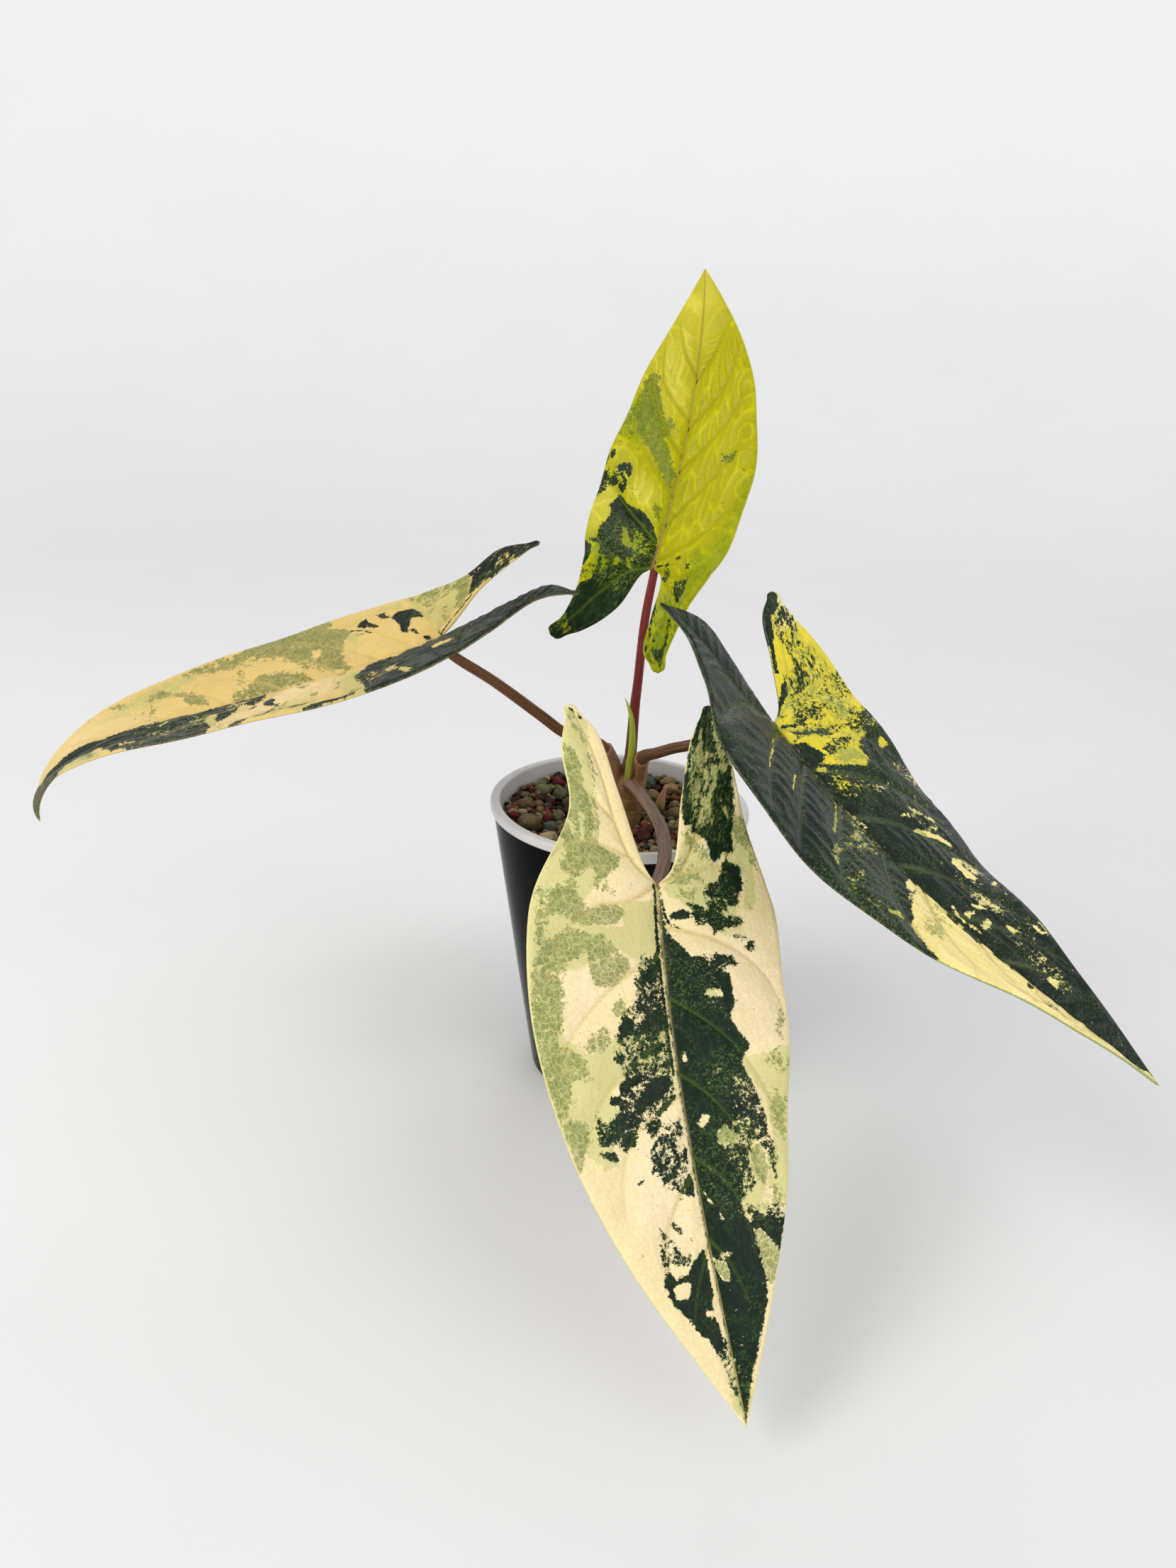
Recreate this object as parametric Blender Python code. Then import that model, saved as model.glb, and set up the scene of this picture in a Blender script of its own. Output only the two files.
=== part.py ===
# Potted alocasia: four arrow-shaped leaves on their stalks, a rolled new leaf and a small basal
# shoot, growing from a short stem base in a gritty mix, in a round tapered black and white pot.
# Sizes are in millimetres and become metres when a mesh is made. The origin is the centre of the
# pot's underside, +Z is up, and the front leaf hangs towards -Y.
import math
import random

import bmesh
import bpy
import numpy as np
from mathutils import Matrix, Vector

MM = 0.001
GAP = 0.3

# The pot: an outer black shell and the white liner whose lip covers the shell's top edge.
POT_HEIGHT = 120.0
RIM_RADIUS = 50.0
BASE_RADIUS = 30.7
LIP_HEIGHT = 3.7
LIP_OVERHANG = 1.1
SHELL_WALL = 1.5
SHELL_FLOOR = 2.4
LINER_WALL = 1.3
LINER_FLOOR = 1.6
POT_SIDES = 56
RECESS = (13.0, 25.0, 1.0)
DRAIN_HOLES = 4
DRAIN_RING = 19.0
DRAIN_RADIUS = 3.5

# The gritty mix: a plug below the lip, covered with stones.
MIX_TOP = 110.0
STONE_COUNT = 96
STONE_RADII = (3.2, 5.0)
STONE_SEED = 11
BIG_STONES = ((-34.5, -13.0, 6.2), (26.0, -26.0, 5.6), (-12.0, 30.0, 5.8), (33.0, 12.0, 5.4))

# The stem base: height, centre x and y, half width and half depth of each ring.
STEM_RINGS = (
    (86.0, 1.5, 2.5, 3.0, 3.0),
    (90.0, 1.5, 2.5, 5.2, 5.0),
    (101.0, 1.8, 2.0, 6.2, 5.6),
    (112.0, 2.3, 1.5, 6.3, 5.4),
    (120.0, 2.5, 1.0, 6.9, 5.4),
    (127.0, 2.5, 1.0, 7.4, 5.6),
)
STEM_SIDES = 18

# Stalks: points from the stem base to the leaf, with half width and half depth at each.
STALK_SIDES = 12
STALK_STEP = 6.0
STALKS = {
    "stalk_front": (
        ((2.9, -5.3, 127.6), 2.5, 2.1), ((3.5, -10.0, 130.3), 2.4, 2.0), ((7.2, -22.0, 131.0), 2.3, 2.0),
        ((11.7, -40.0, 130.7), 2.3, 1.9), ((13.6, -56.0, 130.9), 2.3, 1.9), ((13.2, -72.0, 129.6), 2.2, 1.8),
        ((10.2, -83.3, 127.3), 1.2, 1.0),
    ),
    "stalk_top": (
        ((2.6, 3.6, 127.3), 2.3, 1.8), ((3.2, 3.0, 139.0), 2.2, 1.9), ((3.5, 3.0, 156.0), 1.9, 1.8),
        ((4.1, 3.5, 167.0), 1.7, 1.7), ((5.1, 5.0, 188.5), 1.6, 1.6), ((7.6, 8.0, 206.4), 1.2, 1.0),
    ),
    "stalk_left": (
        ((-2.2, 1.4, 127.4), 2.3, 3.0), ((-2.3, 1.4, 130.0), 2.3, 3.1), ((-3.7, 0.5, 135.0), 2.3, 3.2),
        ((-8.0, -2.0, 142.0), 2.2, 2.8),
        ((-15.0, -4.5, 145.6), 2.1, 2.2), ((-23.0, -6.0, 148.6), 2.0, 2.0), ((-31.0, -7.0, 154.6), 2.0, 2.0),
        ((-48.0, -10.0, 167.6), 1.9, 1.9), ((-61.5, -12.8, 176.6), 1.8, 1.8), ((-67.7, -14.5, 182.1), 1.1, 1.0),
    ),
    "stalk_right": (
        ((7.3, 0.8, 127.4), 2.2, 2.8), ((7.3, 0.7, 130.0), 2.1, 2.8), ((7.0, -1.8, 135.0), 2.0, 2.7),
        ((7.6, -6.8, 140.6), 2.2, 2.4),
        ((12.0, -13.0, 144.6), 2.1, 2.1), ((17.5, -19.0, 149.0), 2.0, 2.0), ((23.2, -25.0, 152.8), 2.0, 2.0),
        ((34.0, -39.0, 161.8), 1.9, 1.9), ((45.1, -51.7, 171.0), 1.2, 1.0),
    ),
}
# The rolled new leaf stands in front of the top stalk; the basal shoot stands in the mix.
NEW_LEAF = (
    ((2.3, -1.8, 127.3), 1.1, 1.0), ((2.7, -2.2, 134.0), 1.3, 1.1), ((3.3, -2.6, 142.0), 1.3, 1.1),
    ((2.7, -2.8, 152.5), 1.0, 0.9), ((-0.4, -3.0, 161.9), 0.25, 0.25),
)
BASAL_SHOOT = (
    ((17.0, 14.6, 105.0), 1.4, 1.3), ((17.0, 14.6, 113.0), 1.9, 1.7), ((17.8, 15.0, 117.0), 1.1, 1.0),
    ((19.0, 15.4, 120.2), 0.3, 0.3),
)

# Leaves. All share one outline rule, as fractions of a half's width and of the leaf's length in
# front of its stalk; behind the stalk each half runs out into a lobe.
OUTLINE_FRONT = ((0.21, 0.89), (0.63, 0.66), (0.96, 0.37), (1.0, 0.07))
LOBE_STEPS = (0.36, 0.72, 1.0)
SINUS_STEPS = (0.09, 0.48, 0.84)
SHOULDER = 0.62
BLADE_THICKNESS = 0.8
KEEL_DEPTH = 1.5
KEEL_HALF_WIDTH = 2.0
WAVE_HEIGHT = 0.9
WAVE_COUNT = 5.0
FRONT_ROWS = 16
LOBE_ROWS = 8
BLADE_COLUMNS = 6
# Each leaf: at is where the stalk meets the blade; heading turns from +X towards +Y, pitch lifts
# the tip and roll lowers the right half, in degrees. arch, sway and twist bend the midrib down, to
# the right and round itself. Each half has fold and curl angles at the lobe, stalk, middle and tip.
LEAVES = {
    "leaf_front": dict(
        at=(10.5, -86.0, 128.0), heading=-83.5, pitch=-43.5, roll=-4.5, length=151.5,
        arch=11.5, tip_arch=2.5, lobe_lift=9.0, sway=-17.0, tip_sway=6.0, twist=1.5, lobe_twist=-5.0,
        left=dict(width=38.5, lobe=63.5, outer=(30.0, 27.0, 22.5), sinus=(5.0, 10.0, 16.0),
                  fold=(12, 5, 1, 7), curl=(-5, -17, -17, 1)),
        right=dict(width=42.0, lobe=64.5, outer=(28.0, 29.0, 25.5), sinus=(4.0, 11.0, 17.0),
                   fold=(10, 13, 9, 8), curl=(-9, -8, -5, -5)),
    ),
    "leaf_top": dict(
        at=(7.0, 7.0, 208.5), heading=55.0, pitch=64.0, roll=2.5, length=113.0,
        arch=-3.5, tip_arch=0.5, lobe_lift=-4.0, sway=-14.0, tip_sway=-4.0, twist=-8.0, lobe_twist=-15.5,
        left=dict(width=30.5, lobe=36.5, outer=(25.0, 25.5, 28.0), sinus=(3.5, 8.0, 18.0),
                  fold=(25, 12, 8, 16), curl=(6, -14, -13, 1)),
        right=dict(width=33.0, lobe=36.5, outer=(20.5, 16.5, 15.0), sinus=(5.5, 6.0, 7.0),
                   fold=(12, 19, 14, 5), curl=(-8, -1, -2, -5)),
    ),
    "leaf_left": dict(
        at=(-69.5, -15.0, 183.5), heading=196.5, pitch=-22.0, roll=-3.5, length=172.0,
        arch=-22.0, tip_arch=90.0, lobe_lift=-14.0, sway=18.0, tip_sway=5.5, twist=6.0, lobe_twist=3.0,
        left=dict(width=33.0, lobe=50.0, outer=(23.0, 17.0, 31.5), sinus=(0.6, 1.0, 9.0),
                  fold=(15, 13, 6, 20), curl=(-21, -14, 8, -10)),
        right=dict(width=33.0, lobe=52.0, outer=(24.5, 26.0, 16.0), sinus=(1.0, 14.0, 16.5),
                   fold=(26, 20, 12, 14), curl=(-3, -11, -1, -8)),
    ),
    "leaf_right": dict(
        at=(46.5, -53.5, 172.0), heading=-51.5, pitch=-33.0, roll=-0.5, length=151.0,
        arch=-12.0, tip_arch=5.5, lobe_lift=-12.5, sway=-20.5, tip_sway=2.0, twist=5.0, lobe_twist=-3.0,
        left=dict(width=37.5, lobe=45.5, outer=(33.5, 29.0, 25.0), sinus=(4.5, 12.5, 18.0),
                  fold=(21, 17, 15, 18), curl=(-1, -18, -32, 6)),
        right=dict(width=37.0, lobe=48.5, outer=(24.5, 19.5, 24.5), sinus=(0.8, 1.0, 5.0),
                   fold=(21, 22, 13, 30), curl=(-13, -17, -15, -11)),
    ),
}

# Colour, roughness and metallic value of each material.
FINISHES = {
    "pot_black": ((0.012, 0.012, 0.014), 0.12, 0.0),
    "pot_white": ((0.86, 0.87, 0.90), 0.30, 0.0),
    "gritty_mix": ((0.24, 0.13, 0.09), 0.85, 0.0),
    "stem_tan": ((0.36, 0.22, 0.11), 0.55, 0.0),
    "stalk_brown": ((0.20, 0.09, 0.07), 0.45, 0.0),
    "stalk_crimson": ((0.26, 0.05, 0.06), 0.45, 0.0),
    "stalk_mauve": ((0.27, 0.18, 0.16), 0.50, 0.0),
    "new_leaf_lime": ((0.42, 0.58, 0.10), 0.45, 0.0),
    "shoot_pink": ((0.62, 0.38, 0.24), 0.50, 0.0),
    "leaf_cream": ((0.62, 0.66, 0.36), 0.40, 0.0),
    "leaf_lime": ((0.50, 0.62, 0.07), 0.35, 0.0),
    "leaf_olive": ((0.40, 0.42, 0.18), 0.35, 0.0),
    "leaf_dark": ((0.03, 0.07, 0.035), 0.30, 0.0),
}


def clear_scene():
    for existing in list(bpy.data.objects):
        bpy.data.objects.remove(existing, do_unlink=True)


def finish_material(name):
    colour, roughness, metallic = FINISHES[name]
    material = bpy.data.materials.new(name)
    material.use_nodes = True
    shader = material.node_tree.nodes["Principled BSDF"]
    shader.inputs["Base Color"].default_value = (*colour, 1.0)
    shader.inputs["Roughness"].default_value = roughness
    shader.inputs["Metallic"].default_value = metallic
    material.diffuse_color = (*colour, 1.0)
    return material


def add_object(name, bm, finish=None, smooth=False):
    bmesh.ops.recalc_face_normals(bm, faces=bm.faces)
    mesh = bpy.data.meshes.new(name)
    bm.to_mesh(mesh)
    bm.free()
    if smooth:
        mesh.shade_smooth()
        mesh.set_sharp_from_angle(angle=math.radians(40.0))
    added = bpy.data.objects.new(name, mesh)
    bpy.context.scene.collection.objects.link(added)
    if finish:
        mesh.materials.append(finish_material(finish))
    return added


def hide_helper(helper):
    helper.hide_render = True
    helper.display_type = "WIRE"


def boolean(target, operation, operand=None, collection=None):
    cut = target.modifiers.new(operation.lower(), "BOOLEAN")
    cut.operation = operation
    if collection:
        cut.operand_type = "COLLECTION"
        cut.collection = collection
    else:
        cut.object = operand
    return cut


def apply_modifiers(target):
    evaluated = target.evaluated_get(bpy.context.evaluated_depsgraph_get())
    applied = bpy.data.meshes.new_from_object(evaluated)
    target.modifiers.clear()
    target.data = applied


# A turned body: the profile runs round a closed section from the axis back to the axis.
def turned(name, profile, sides, finish=None):
    bm = bmesh.new()
    rings = []
    for radius, height in profile:
        if radius < 1e-6:
            rings.append([bm.verts.new((0.0, 0.0, height * MM))])
            continue
        ring = []
        for side in range(sides):
            angle = 2.0 * math.pi * side / sides
            ring.append(bm.verts.new((radius * MM * math.cos(angle), radius * MM * math.sin(angle), height * MM)))
        rings.append(ring)
    for lower, upper in zip(rings[:-1], rings[1:]):
        for side in range(sides):
            after = (side + 1) % sides
            if len(lower) == 1:
                bm.faces.new((lower[0], upper[side], upper[after]))
            elif len(upper) == 1:
                bm.faces.new((lower[side], upper[0], lower[after]))
            else:
                bm.faces.new((lower[side], lower[after], upper[after], upper[side]))
    return add_object(name, bm, finish, smooth=True)


def shell_radius(height):
    top = RIM_RADIUS - LIP_OVERHANG
    return BASE_RADIUS + (top - BASE_RADIUS) * height / (POT_HEIGHT - LIP_HEIGHT)


def liner_radius(height):
    return shell_radius(height) - SHELL_WALL - GAP - LINER_WALL


def drill_drain_holes(target):
    for number in range(DRAIN_HOLES):
        angle = 2.0 * math.pi * (number + 0.5) / DRAIN_HOLES
        bm = bmesh.new()
        place = Matrix.Translation((DRAIN_RING * MM * math.cos(angle), DRAIN_RING * MM * math.sin(angle), 0.0))
        bmesh.ops.create_cone(
            bm, cap_ends=True, segments=14, radius1=DRAIN_RADIUS * MM, radius2=DRAIN_RADIUS * MM,
            depth=20.0 * MM, matrix=place)
        drill = add_object(f"{target.name}_drill_{number}", bm)
        hide_helper(drill)
        boolean(target, "DIFFERENCE", drill)


def make_pot():
    shell_top = POT_HEIGHT - LIP_HEIGHT
    recess_start, recess_end, recess_depth = RECESS
    shell = turned("pot_shell", (
        (0.0, 0.0), (recess_start - 0.6, 0.0), (recess_start, recess_depth), (recess_end, recess_depth),
        (recess_end + 0.6, 0.0), (BASE_RADIUS - 1.2, 0.0), (BASE_RADIUS + 0.2, 1.4),
        (shell_radius(60.0), 60.0), (shell_radius(shell_top), shell_top),
        (shell_radius(shell_top) - SHELL_WALL, shell_top),
        (shell_radius(SHELL_FLOOR) - SHELL_WALL, SHELL_FLOOR), (0.0, SHELL_FLOOR),
    ), POT_SIDES, "pot_black")
    drill_drain_holes(shell)
    liner_base = SHELL_FLOOR + GAP
    liner_floor = liner_base + LINER_FLOOR
    lip_base = shell_top + GAP
    liner = turned("pot_liner", (
        (0.0, liner_base), (liner_radius(liner_base) + LINER_WALL, liner_base),
        (liner_radius(lip_base) + LINER_WALL, lip_base), (RIM_RADIUS - 0.4, lip_base),
        (RIM_RADIUS, lip_base + 0.5), (RIM_RADIUS, POT_HEIGHT - 1.0), (RIM_RADIUS - 0.9, POT_HEIGHT),
        (liner_radius(POT_HEIGHT) + 0.7, POT_HEIGHT), (liner_radius(POT_HEIGHT), POT_HEIGHT - 0.8),
        (liner_radius(liner_floor), liner_floor), (0.0, liner_floor),
    ), POT_SIDES, "pot_white")
    drill_drain_holes(liner)
    return liner_floor


# Points and sizes along a smooth curve through the given ones.
def smooth_run(values, step):
    rows = np.array([(*point, *sizes) for point, *sizes in values], float)
    padded = np.vstack([2 * rows[0] - rows[1], rows, 2 * rows[-1] - rows[-2]])
    run = []
    for index in range(1, len(rows)):
        before, start, end, after = padded[index - 1:index + 3]
        count = max(2, round(float(np.linalg.norm(end[:3] - start[:3])) / step))
        for part in range(count):
            t = part / count
            run.append(0.5 * (2 * start + (end - before) * t + (2 * before - 5 * start + 4 * end - after) * t ** 2
                              + (3 * start - before - 3 * end + after) * t ** 3))
    run.append(rows[-1])
    return np.array(run)


# A closed stem of oval rings that are carried along the run without spinning.
def stalk(name, values, sides, finish=None, grow=0.0, step=STALK_STEP):
    run = smooth_run(values, step)
    centres = run[:, :3]
    along = np.gradient(centres, axis=0)
    across = Vector((1.0, 0.0, 0.0))
    bm = bmesh.new()
    rings = []
    for centre, direction, sizes in zip(centres, along, run[:, 3:]):
        forward = Vector(direction).normalized()
        across = (across - forward * across.dot(forward)).normalized()
        depthwise = forward.cross(across)
        ring = []
        for side in range(sides):
            angle = 2.0 * math.pi * side / sides
            offset = across * math.cos(angle) * (sizes[0] + grow) + depthwise * math.sin(angle) * (sizes[1] + grow)
            ring.append(bm.verts.new((Vector(centre) + offset) * MM))
        rings.append(ring)
    for lower, upper in zip(rings[:-1], rings[1:]):
        for side in range(sides):
            after = (side + 1) % sides
            bm.faces.new((lower[side], lower[after], upper[after], upper[side]))
    bm.faces.new(rings[0][::-1])
    bm.faces.new(rings[-1])
    return add_object(name, bm, finish, smooth=True)


def stem_values():
    return [((x, y, z), half_width, half_depth) for z, x, y, half_width, half_depth in STEM_RINGS]


def stone(bm, centre, size, rng):
    turn = Matrix.Rotation(rng.uniform(0.0, math.pi), 4, "Z") @ Matrix.Rotation(rng.uniform(-0.5, 0.5), 4, "X")
    shape = Matrix.Diagonal((size * rng.uniform(0.95, 1.2), size * rng.uniform(0.8, 1.0),
                             size * rng.uniform(0.62, 0.8), 1.0))
    bmesh.ops.create_icosphere(bm, subdivisions=1, radius=MM, matrix=Matrix.Translation(centre) @ turn @ shape)


# Stones lie where a random draw finds room between the liner, the stem base and the shoot.
def stone_places(rng):
    kept_clear = ((2.5, 1.5, 7.2), (17.2, 14.8, 2.6))
    reach = liner_radius(MIX_TOP) - 0.8
    places = list(BIG_STONES)
    tries = 0
    while len(places) < STONE_COUNT and tries < 6000:
        tries += 1
        size = rng.uniform(*STONE_RADII)
        angle = rng.uniform(0.0, 2.0 * math.pi)
        distance = (reach - 1.25 * size) * math.sqrt(rng.random())
        x, y = distance * math.cos(angle), distance * math.sin(angle)
        if any(math.hypot(x - cx, y - cy) < clear + 1.25 * size for cx, cy, clear in kept_clear):
            continue
        if any(math.hypot(x - px, y - py) < 0.82 * (size + psize) for px, py, psize in places):
            continue
        places.append((x, y, size))
    return places


def make_mix(liner_floor):
    rng = random.Random(STONE_SEED)
    floor = liner_floor + GAP
    mix = turned("gritty_mix", (
        (0.0, floor), (liner_radius(floor) - GAP - 0.3, floor),
        (liner_radius(MIX_TOP) - GAP, MIX_TOP), (0.0, MIX_TOP),
    ), POT_SIDES, "gritty_mix")
    stones = bpy.data.collections.new("stones")
    bpy.context.scene.collection.children.link(stones)
    for number, (x, y, size) in enumerate(stone_places(rng)):
        bm = bmesh.new()
        stone(bm, Vector((x, y, MIX_TOP + 0.25 * size)) * MM, size, rng)
        piece = add_object(f"stone_{number}", bm)
        bpy.context.scene.collection.objects.unlink(piece)
        stones.objects.link(piece)
    boolean(mix, "UNION", collection=stones)
    apply_modifiers(mix)
    for piece in list(stones.objects):
        bpy.data.objects.remove(piece, do_unlink=True)
    bpy.data.collections.remove(stones)
    stem_hole = stalk("stem_hole", stem_values(), STEM_SIDES, grow=GAP + 0.1)
    shoot_hole = stalk("shoot_hole", BASAL_SHOOT, STALK_SIDES, grow=GAP + 0.1, step=3.0)
    for hole in (stem_hole, shoot_hole):
        hide_helper(hole)
        boolean(mix, "DIFFERENCE", hole)
    return mix


def bend_value(values, forward, backward):
    lobe, base, middle, tip = values
    rise = np.clip(forward / 0.45, 0.0, 1.0)
    fall = np.clip((forward - 0.45) / 0.55, 0.0, 1.0)
    rise = rise * rise * (3.0 - 2.0 * rise)
    fall = fall * fall * (3.0 - 2.0 * fall)
    return base + (middle - base) * rise + (tip - middle) * fall + (lobe - base) * backward


# The midrib of a flat leaf bent into place: positions and frames at given distances along it.
class Midrib:
    def __init__(self, leaf):
        self.leaf = leaf
        self.lobe = max(leaf["left"]["lobe"], leaf["right"]["lobe"])
        self.at_y = np.linspace(-1.05 * self.lobe, leaf["length"], 400)
        forward, backward = self.fractions(self.at_y)
        pitch = np.radians(-leaf["arch"] * forward - leaf["tip_arch"] * forward ** 4 + leaf["lobe_lift"] * backward)
        sway = np.radians(leaf["sway"] * forward + leaf["tip_sway"] * forward ** 4)
        twist = np.radians(leaf["twist"] * forward + leaf["lobe_twist"] * backward)
        tangent = np.stack([np.cos(pitch) * np.cos(sway), np.sin(sway), np.sin(pitch) * np.cos(sway)], 1)
        upright = np.stack([-np.sin(pitch), np.zeros_like(pitch), np.cos(pitch)], 1)
        right = np.cross(upright, tangent)
        right /= np.linalg.norm(right, axis=1)[:, None]
        above = np.cross(tangent, right)
        cos_twist, sin_twist = np.cos(twist)[:, None], np.sin(twist)[:, None]
        self.right = right * cos_twist + above * sin_twist
        self.above = above * cos_twist - right * sin_twist
        steps = (tangent[1:] + tangent[:-1]) / 2.0 * (self.at_y[1] - self.at_y[0])
        self.line = np.vstack([np.zeros(3), np.cumsum(steps, axis=0)])
        self.line -= self.read(self.line, np.array([0.0]))[0]

    def fractions(self, y):
        return np.clip(y / self.leaf["length"], 0.0, 1.0), np.clip(-y / self.lobe, 0.0, 1.0)

    def read(self, table, y):
        return np.stack([np.interp(y, self.at_y, table[:, axis]) for axis in range(3)], -1)

    def to_pot(self, local):
        heading, pitch, roll = (math.radians(self.leaf[key]) for key in ("heading", "pitch", "roll"))
        forward = np.array([math.cos(heading) * math.cos(pitch), math.sin(heading) * math.cos(pitch), math.sin(pitch)])
        level = np.array([math.sin(heading), -math.cos(heading), 0.0])
        above = np.cross(level, forward)
        right = level * math.cos(roll) - above * math.sin(roll)
        raised = above * math.cos(roll) + level * math.sin(roll)
        return np.array(self.leaf["at"]) + local @ np.stack([forward, right, raised])

    # A point of the flat half at x out from the midrib and y along it, raised by lift.
    def place(self, side, x, y, lift):
        half = self.leaf["left" if side < 0 else "right"]
        forward, backward = self.fractions(y)
        fold = np.radians(bend_value(half["fold"], forward, backward))
        curl = np.radians(bend_value(half["curl"], forward, backward)) / half["width"]
        curl = np.where(np.abs(curl) < 1e-6, 1e-6, curl)
        turn = fold + curl * x
        outward = (np.sin(turn) - np.sin(fold)) / curl - np.sin(turn) * lift
        height = (np.cos(fold) - np.cos(turn)) / curl + np.cos(turn) * lift
        local = (self.read(self.line, y) + side * outward[:, None] * self.read(self.right, y)
                 + height[:, None] * self.read(self.above, y))
        return self.to_pot(local)


def curve_through(points, samples=24):
    rows = np.array(points, float)
    padded = np.vstack([2 * rows[0] - rows[1], rows, 2 * rows[-1] - rows[-2]])
    run = []
    for index in range(1, len(rows)):
        near = padded[index - 1:index + 3]
        knots = np.concatenate([[0.0], np.cumsum(np.sqrt(np.linalg.norm(np.diff(near, axis=0), axis=1)))])
        t = np.linspace(knots[1], knots[2], samples, endpoint=False)[:, None]
        pairs = [((knots[k + 1] - t) * near[k] + (t - knots[k]) * near[k + 1]) / (knots[k + 1] - knots[k])
                 for k in range(3)]
        threes = [((knots[k + 2] - t) * pairs[k] + (t - knots[k]) * pairs[k + 1]) / (knots[k + 2] - knots[k])
                  for k in range(2)]
        run.append(((knots[2] - t) * threes[0] + (t - knots[1]) * threes[1]) / (knots[2] - knots[1]))
    return np.vstack(run + [rows[-1:]])


def along_curve(curve, fractions):
    lengths = np.concatenate([[0.0], np.cumsum(np.linalg.norm(np.diff(curve, axis=0), axis=1))])
    return np.stack([np.interp(fractions * lengths[-1], lengths, curve[:, axis]) for axis in range(2)], -1)


# Rows of the flat half leaf, from the tip back to the lobe's end. Each row runs from the midrib,
# or past the stalk from the sinus edge, out to the margin.
def half_rows(leaf, half):
    length, width, lobe = leaf["length"], half["width"], half["lobe"]
    outer = [(0.0, length)] + [(a * width, b * length) for a, b in OUTLINE_FRONT]
    outer += [(x, -step * lobe) for x, step in zip(half["outer"], LOBE_STEPS)]
    sinus = [(0.0, 0.0)] + [(x, -step * lobe) for x, step in zip(half["sinus"], SINUS_STEPS)] + [outer[-1]]
    margin, inner_edge = curve_through(outer), curve_through(sinus)
    front = np.linspace(0.0, 1.0, FRONT_ROWS + 1)
    back = np.linspace(0.0, 1.0, LOBE_ROWS + 1)[1:]
    inner = np.vstack([np.stack([np.zeros_like(front), length * (1.0 - front)], 1), along_curve(inner_edge, back)])
    fractions = np.concatenate([SHOULDER * front, SHOULDER + (1.0 - SHOULDER) * back])
    return inner, along_curve(margin, fractions), fractions


def leaf(name, finish):
    shape = LEAVES[name]
    midrib = Midrib(shape)
    bm = bmesh.new()
    verts = {}
    last_row = FRONT_ROWS + LOBE_ROWS

    def key(side, row, column, under):
        shared = (column == 0 and row <= FRONT_ROWS) or row == 0
        if row in (0, last_row):
            column = 0
        return (0 if shared else side, row, column, under)

    for side, half in ((-1, shape["left"]), (1, shape["right"])):
        inner, outer, fractions = half_rows(shape, half)
        for row in range(last_row + 1):
            reach = float(np.linalg.norm(outer[row] - inner[row]))
            first = min(0.3, KEEL_HALF_WIDTH / max(reach, 1.0))
            share = np.concatenate([[0.0], np.linspace(first, 1.0, BLADE_COLUMNS)])
            x = inner[row, 0] + (outer[row, 0] - inner[row, 0]) * share
            y = inner[row, 1] + (outer[row, 1] - inner[row, 1]) * share ** 1.4
            wave = WAVE_HEIGHT * share ** 2 * np.sin(2.0 * math.pi * WAVE_COUNT * fractions[row] + side)
            wave = wave * math.sin(math.pi * fractions[row])
            rib = np.zeros_like(share)
            if row <= FRONT_ROWS:
                rib[0] = KEEL_DEPTH * (0.2 + 0.8 * row / FRONT_ROWS)
            for under in (0, 1):
                lift = wave + BLADE_THICKNESS * (0.5 - under) - rib * under
                placed = midrib.place(side, x, y, lift)
                if row <= FRONT_ROWS:
                    middle = midrib.to_pot(midrib.read(midrib.line, y[:1]) + lift[:1, None] * midrib.read(midrib.above, y[:1]))
                    placed[0] = middle[0]
                for column in range(BLADE_COLUMNS + 1):
                    spot = key(side, row, column, under)
                    if spot not in verts:
                        verts[spot] = bm.verts.new(Vector(placed[column]) * MM)

    def triangle(*corners):
        if len(set(corners)) == 3:
            bm.faces.new([verts[corner] for corner in corners])

    for side in (-1, 1):
        for row in range(last_row):
            for column in range(BLADE_COLUMNS):
                for under in (0, 1):
                    a, b = key(side, row, column, under), key(side, row + 1, column, under)
                    c, d = key(side, row + 1, column + 1, under), key(side, row, column + 1, under)
                    triangle(a, b, c)
                    triangle(a, c, d)
            edges = [BLADE_COLUMNS]
            if row >= FRONT_ROWS:
                edges.append(0)
            for column in edges:
                a, b = key(side, row, column, 0), key(side, row + 1, column, 0)
                c, d = key(side, row + 1, column, 1), key(side, row, column, 1)
                triangle(a, b, c)
                triangle(a, c, d)
    return add_object(name, bm, finish, smooth=True)


def build():
    clear_scene()
    liner_floor = make_pot()
    make_mix(liner_floor)
    stalk("stem_base", stem_values(), STEM_SIDES, "stem_tan")
    for name, finish in (("stalk_front", "stalk_mauve"), ("stalk_top", "stalk_crimson"),
                         ("stalk_left", "stalk_brown"), ("stalk_right", "stalk_brown")):
        stalk(name, STALKS[name], STALK_SIDES, finish)
    stalk("new_leaf", NEW_LEAF, STALK_SIDES, "new_leaf_lime")
    stalk("basal_shoot", BASAL_SHOOT, STALK_SIDES, "shoot_pink", step=3.0)
    for name, finish in (("leaf_front", "leaf_cream"), ("leaf_top", "leaf_lime"),
                         ("leaf_left", "leaf_olive"), ("leaf_right", "leaf_dark")):
        leaf(name, finish)


build()
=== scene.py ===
# A potted alocasia: four arrow leaves marbled in cream, sage and near-black green on their stalks,
# a rolled new leaf and a small shoot, growing in a gritty mix in a black pot with a white liner.
# Lengths are in millimetres and become metres when a mesh is made.
import math
import random

import bmesh
import bpy
import numpy as np
from mathutils import Matrix, Vector, noise


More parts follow.
